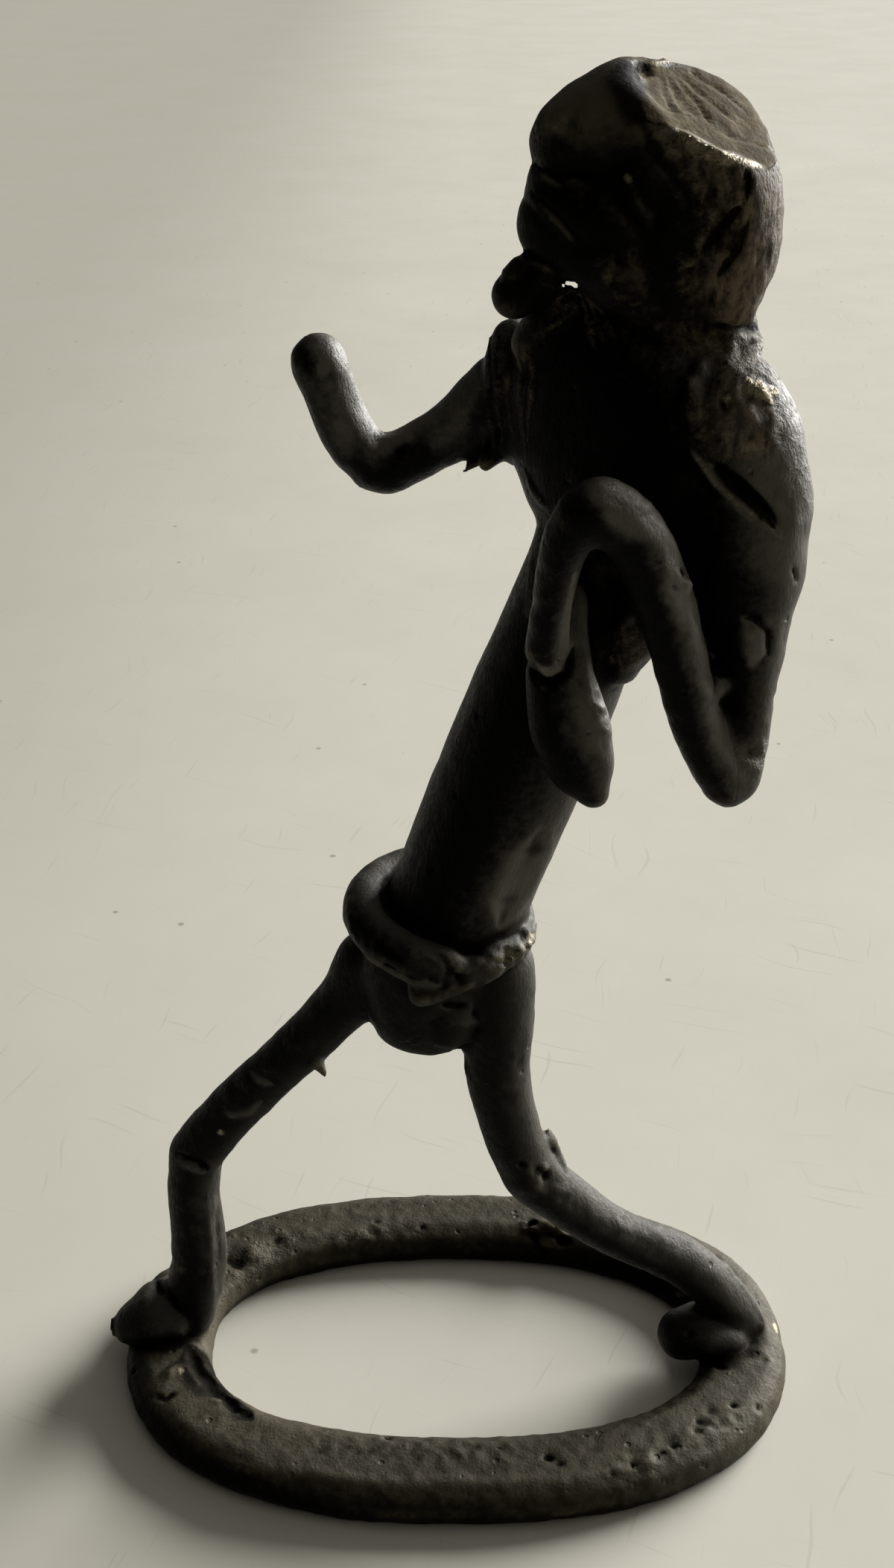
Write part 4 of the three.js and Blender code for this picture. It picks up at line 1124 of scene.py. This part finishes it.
cut_way = facing(on_skin(CUT_METAL)).mean(axis=0)
cut_way /= np.linalg.norm(cut_way)
for name, (part, _) in pressed.items():
    past = past_seam(name)
    piece_field = np.maximum(wax[part] + SINK * np.maximum(past, 0), past - RUN_ON)
    piece_field = np.pad(piece_field, 1, constant_values=NOWHERE)
    low = grid_low + STEP * (np.array([side.start for side in part]) - 1)
    points, faces = largest_island(*skin_of(piece_field, low))
    mesh = bpy.data.meshes.new(name + "_brass")
    mesh.from_pydata((points / MM).tolist(), [], faces.tolist())
    mesh.shade_smooth()
    away = facing(points)
    # The brown share is painted light: brown on the side that faces the light and along the brown
    # strokes.
    painted = {
        "wear": np.clip(sampled(soft, points) / WEAR_HEIGHT, -1, 1),
        "lit_brown": away @ LIT_SIDE_WAY + painted_over(points, "lit_brown"),
        "bare": painted_over(points, "bare"),
        "crust": np.maximum(sampled(crust_field, points), painted_over(points, "crust")),
        "sawn": painted_over(points, "sawn") * np.clip((away @ cut_way - CUT_TURN) / CUT_FADE, 0, 1),
        "black": painted_over(points, "black"),
    }
    for label, values in painted.items():
        layer = mesh.attributes.new(label, "FLOAT", "POINT")
        layer.data.foreach_set("value", values.astype(np.float32))
    mesh.normals_split_custom_set_from_vertices(away.tolist())
    piece = bpy.data.objects.new(name + "_brass", mesh)
    bpy.context.collection.objects.link(piece)
    material, slot = finishes[surfaces[name][0]]
    mesh.materials.append(material)
    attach(piece, "root")
    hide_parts(name)


# Table: a sheet of matt pale board that runs on out of the picture, faintly clouded and scratched,
# with a few specks of dust. Its colour is painted darker to the left, away from the window, which
# is painted shade.

# The board's finish gives the eye a dull warm grey-white. Its specks and scratches are drawn
# coarser than real ones, so that they show. Places are in metres and sizes in millimetres. WANDER
# is how far the scratches stray from straight lines, in metres.
BOARD_REACH = 6
CLOUD_SIZE = 55.6
DUST_APART = 11.1
WANDER_SIZE = 20.8
WANDER = 0.011

table_mesh = bpy.data.meshes.new("board")
edge = [(-BOARD_REACH, -BOARD_REACH, 0), (BOARD_REACH, -BOARD_REACH, 0),
        (BOARD_REACH, BOARD_REACH, 0), (-BOARD_REACH, BOARD_REACH, 0)]
table_mesh.from_pydata(edge, [], [(0, 1, 2, 3)])
table = bpy.data.objects.new("board", table_mesh)
bpy.context.collection.objects.link(table)
board = bpy.data.materials.new("matt pale board")
board.use_nodes = True
tree = board.node_tree
place = add(tree, "TexCoord", out="Object")
across = add(tree, "SeparateXYZ", {"Vector": place}, out="X")
clouds = add(tree, "TexNoise", {"Vector": place, "Scale": MM / CLOUD_SIZE, "Detail": 9.0,
                                "Roughness": 0.7})
dust = add(tree, "TexVoronoi", {"Vector": place, "Scale": MM / DUST_APART})
wander = add(tree, "TexNoise", {"Vector": place, "Scale": MM / WANDER_SIZE, "Detail": 1.0},
             out="Color")
wander = add(tree, "VectorMath", {"Vector": wander, "Scale": WANDER}, operation="SCALE")

# Each set of scratches has a turn, and the size of its lines one way and the other.
scratches = {"along": (0.5, 20.66, 0.7576), "across": (0.2, 0.8117, 17.48)}
scratched = {}
for name, (turn, size, other_size) in scratches.items():
    turned = add(tree, "VectorRotate", {"Vector": place, "Angle": turn}, rotation_type="Z_AXIS")
    bent = add(tree, "VectorMath", {0: turned, 1: wander}, operation="ADD")
    drawn = add(tree, "VectorMath", {0: bent, 1: (MM / size, MM / other_size, 1.0)},
                operation="MULTIPLY")
    scratched[name] = add(tree, "TexNoise", {"Vector": drawn, "Scale": 1.0, "Detail": 1.0})

# Each tone covers the ones before it, from none to its most between the first two values.
tones = [
    # The first two tones paint the board paler to the right, towards the window: painted shade on the
    # left.
    (across, -0.14, 0.02, 1.0, "#d1cfc4", "SMOOTHSTEP"),
    (across, 0.02, 0.16, 1.0, "#d5d3c8", "SMOOTHSTEP"),
    (clouds, 0.3, 0.7, 0.2, "#a39c8c", "LINEAR"),
    (dust, 0.05, 0.03, 0.45, "#5b5344", "LINEAR"),
    (scratched["along"], 0.7, 0.76, 0.16, "#8c8779", "LINEAR"),
    (scratched["across"], 0.7, 0.76, 0.16, "#8c8779", "LINEAR"),
]
tone = linear("#b2afa4")
for value, none, whole, most, colour, change in tones:
    cover = add(tree, "MapRange", {"Value": value, "From Min": none, "From Max": whole,
                                   "To Max": most}, interpolation_type=change)
    tone = add(tree, "Mix", {0: cover, 6: tone, 7: linear(colour)}, out=2, data_type="RGBA")
paper = tree.nodes["Principled BSDF"]
tree.links.new(tone, paper.inputs["Base Color"])
paper.inputs["Roughness"].default_value = 0.95
paper.inputs["Specular IOR Level"].default_value = 0.05
table_mesh.materials.append(board)


# Light: one broad window behind the figure on the right, about 15 degrees up, so that the near
# side is dark and the shadow falls forward, and a dim warm room that glows from above.

WINDOW_WAY = Vector((0.72, 0.61, 0.26))
GLOW_WAY = Vector((0.62, 0.28, 0.73))

window = bpy.data.lights.new("window", "SUN")
window.energy = 9.7
window.angle = np.radians(38)
window.color = (1.0, 0.995, 0.975)
window_light = bpy.data.objects.new("window", window)
bpy.context.collection.objects.link(window_light)
window_light.rotation_euler = WINDOW_WAY.to_track_quat("Z", "Y").to_euler()

world = bpy.data.worlds.new("room")
world.use_nodes = True
tree = world.node_tree
way = add(tree, "TexCoord", out="Generated")
toward = add(tree, "VectorMath", {0: way, 1: GLOW_WAY}, out="Value", operation="DOT_PRODUCT")
glow = add(tree, "MapRange", {"Value": toward, "From Min": -0.1, "From Max": 1.0,
                              "To Min": 0.012, "To Max": 0.33}, interpolation_type="SMOOTHSTEP")
tree.links.new(glow, tree.nodes["Background"].inputs["Strength"])
tree.nodes["Background"].inputs["Color"].default_value = (1.0, 0.95, 0.86, 1)
bpy.context.scene.world = world


# Camera: close by, a little above the figure's head, looking down at its left side. It takes in
# the photograph's upright frame.

SENSOR = 36

camera = bpy.data.objects.new("camera", bpy.data.cameras.new("camera"))
bpy.context.collection.objects.link(camera)
camera.data.sensor_fit = "VERTICAL"
camera.data.sensor_height = SENSOR
camera.data.lens = SENSOR * FOCUS / (2 * MIDDLE[1])
camera.data.clip_start = 0.01
camera.location = EYE / MM
camera.rotation_euler = (np.pi / 2 - LOOKING_DOWN, 0, 0)
bpy.context.scene.camera = camera
bpy.context.scene.view_settings.view_transform = "Standard"
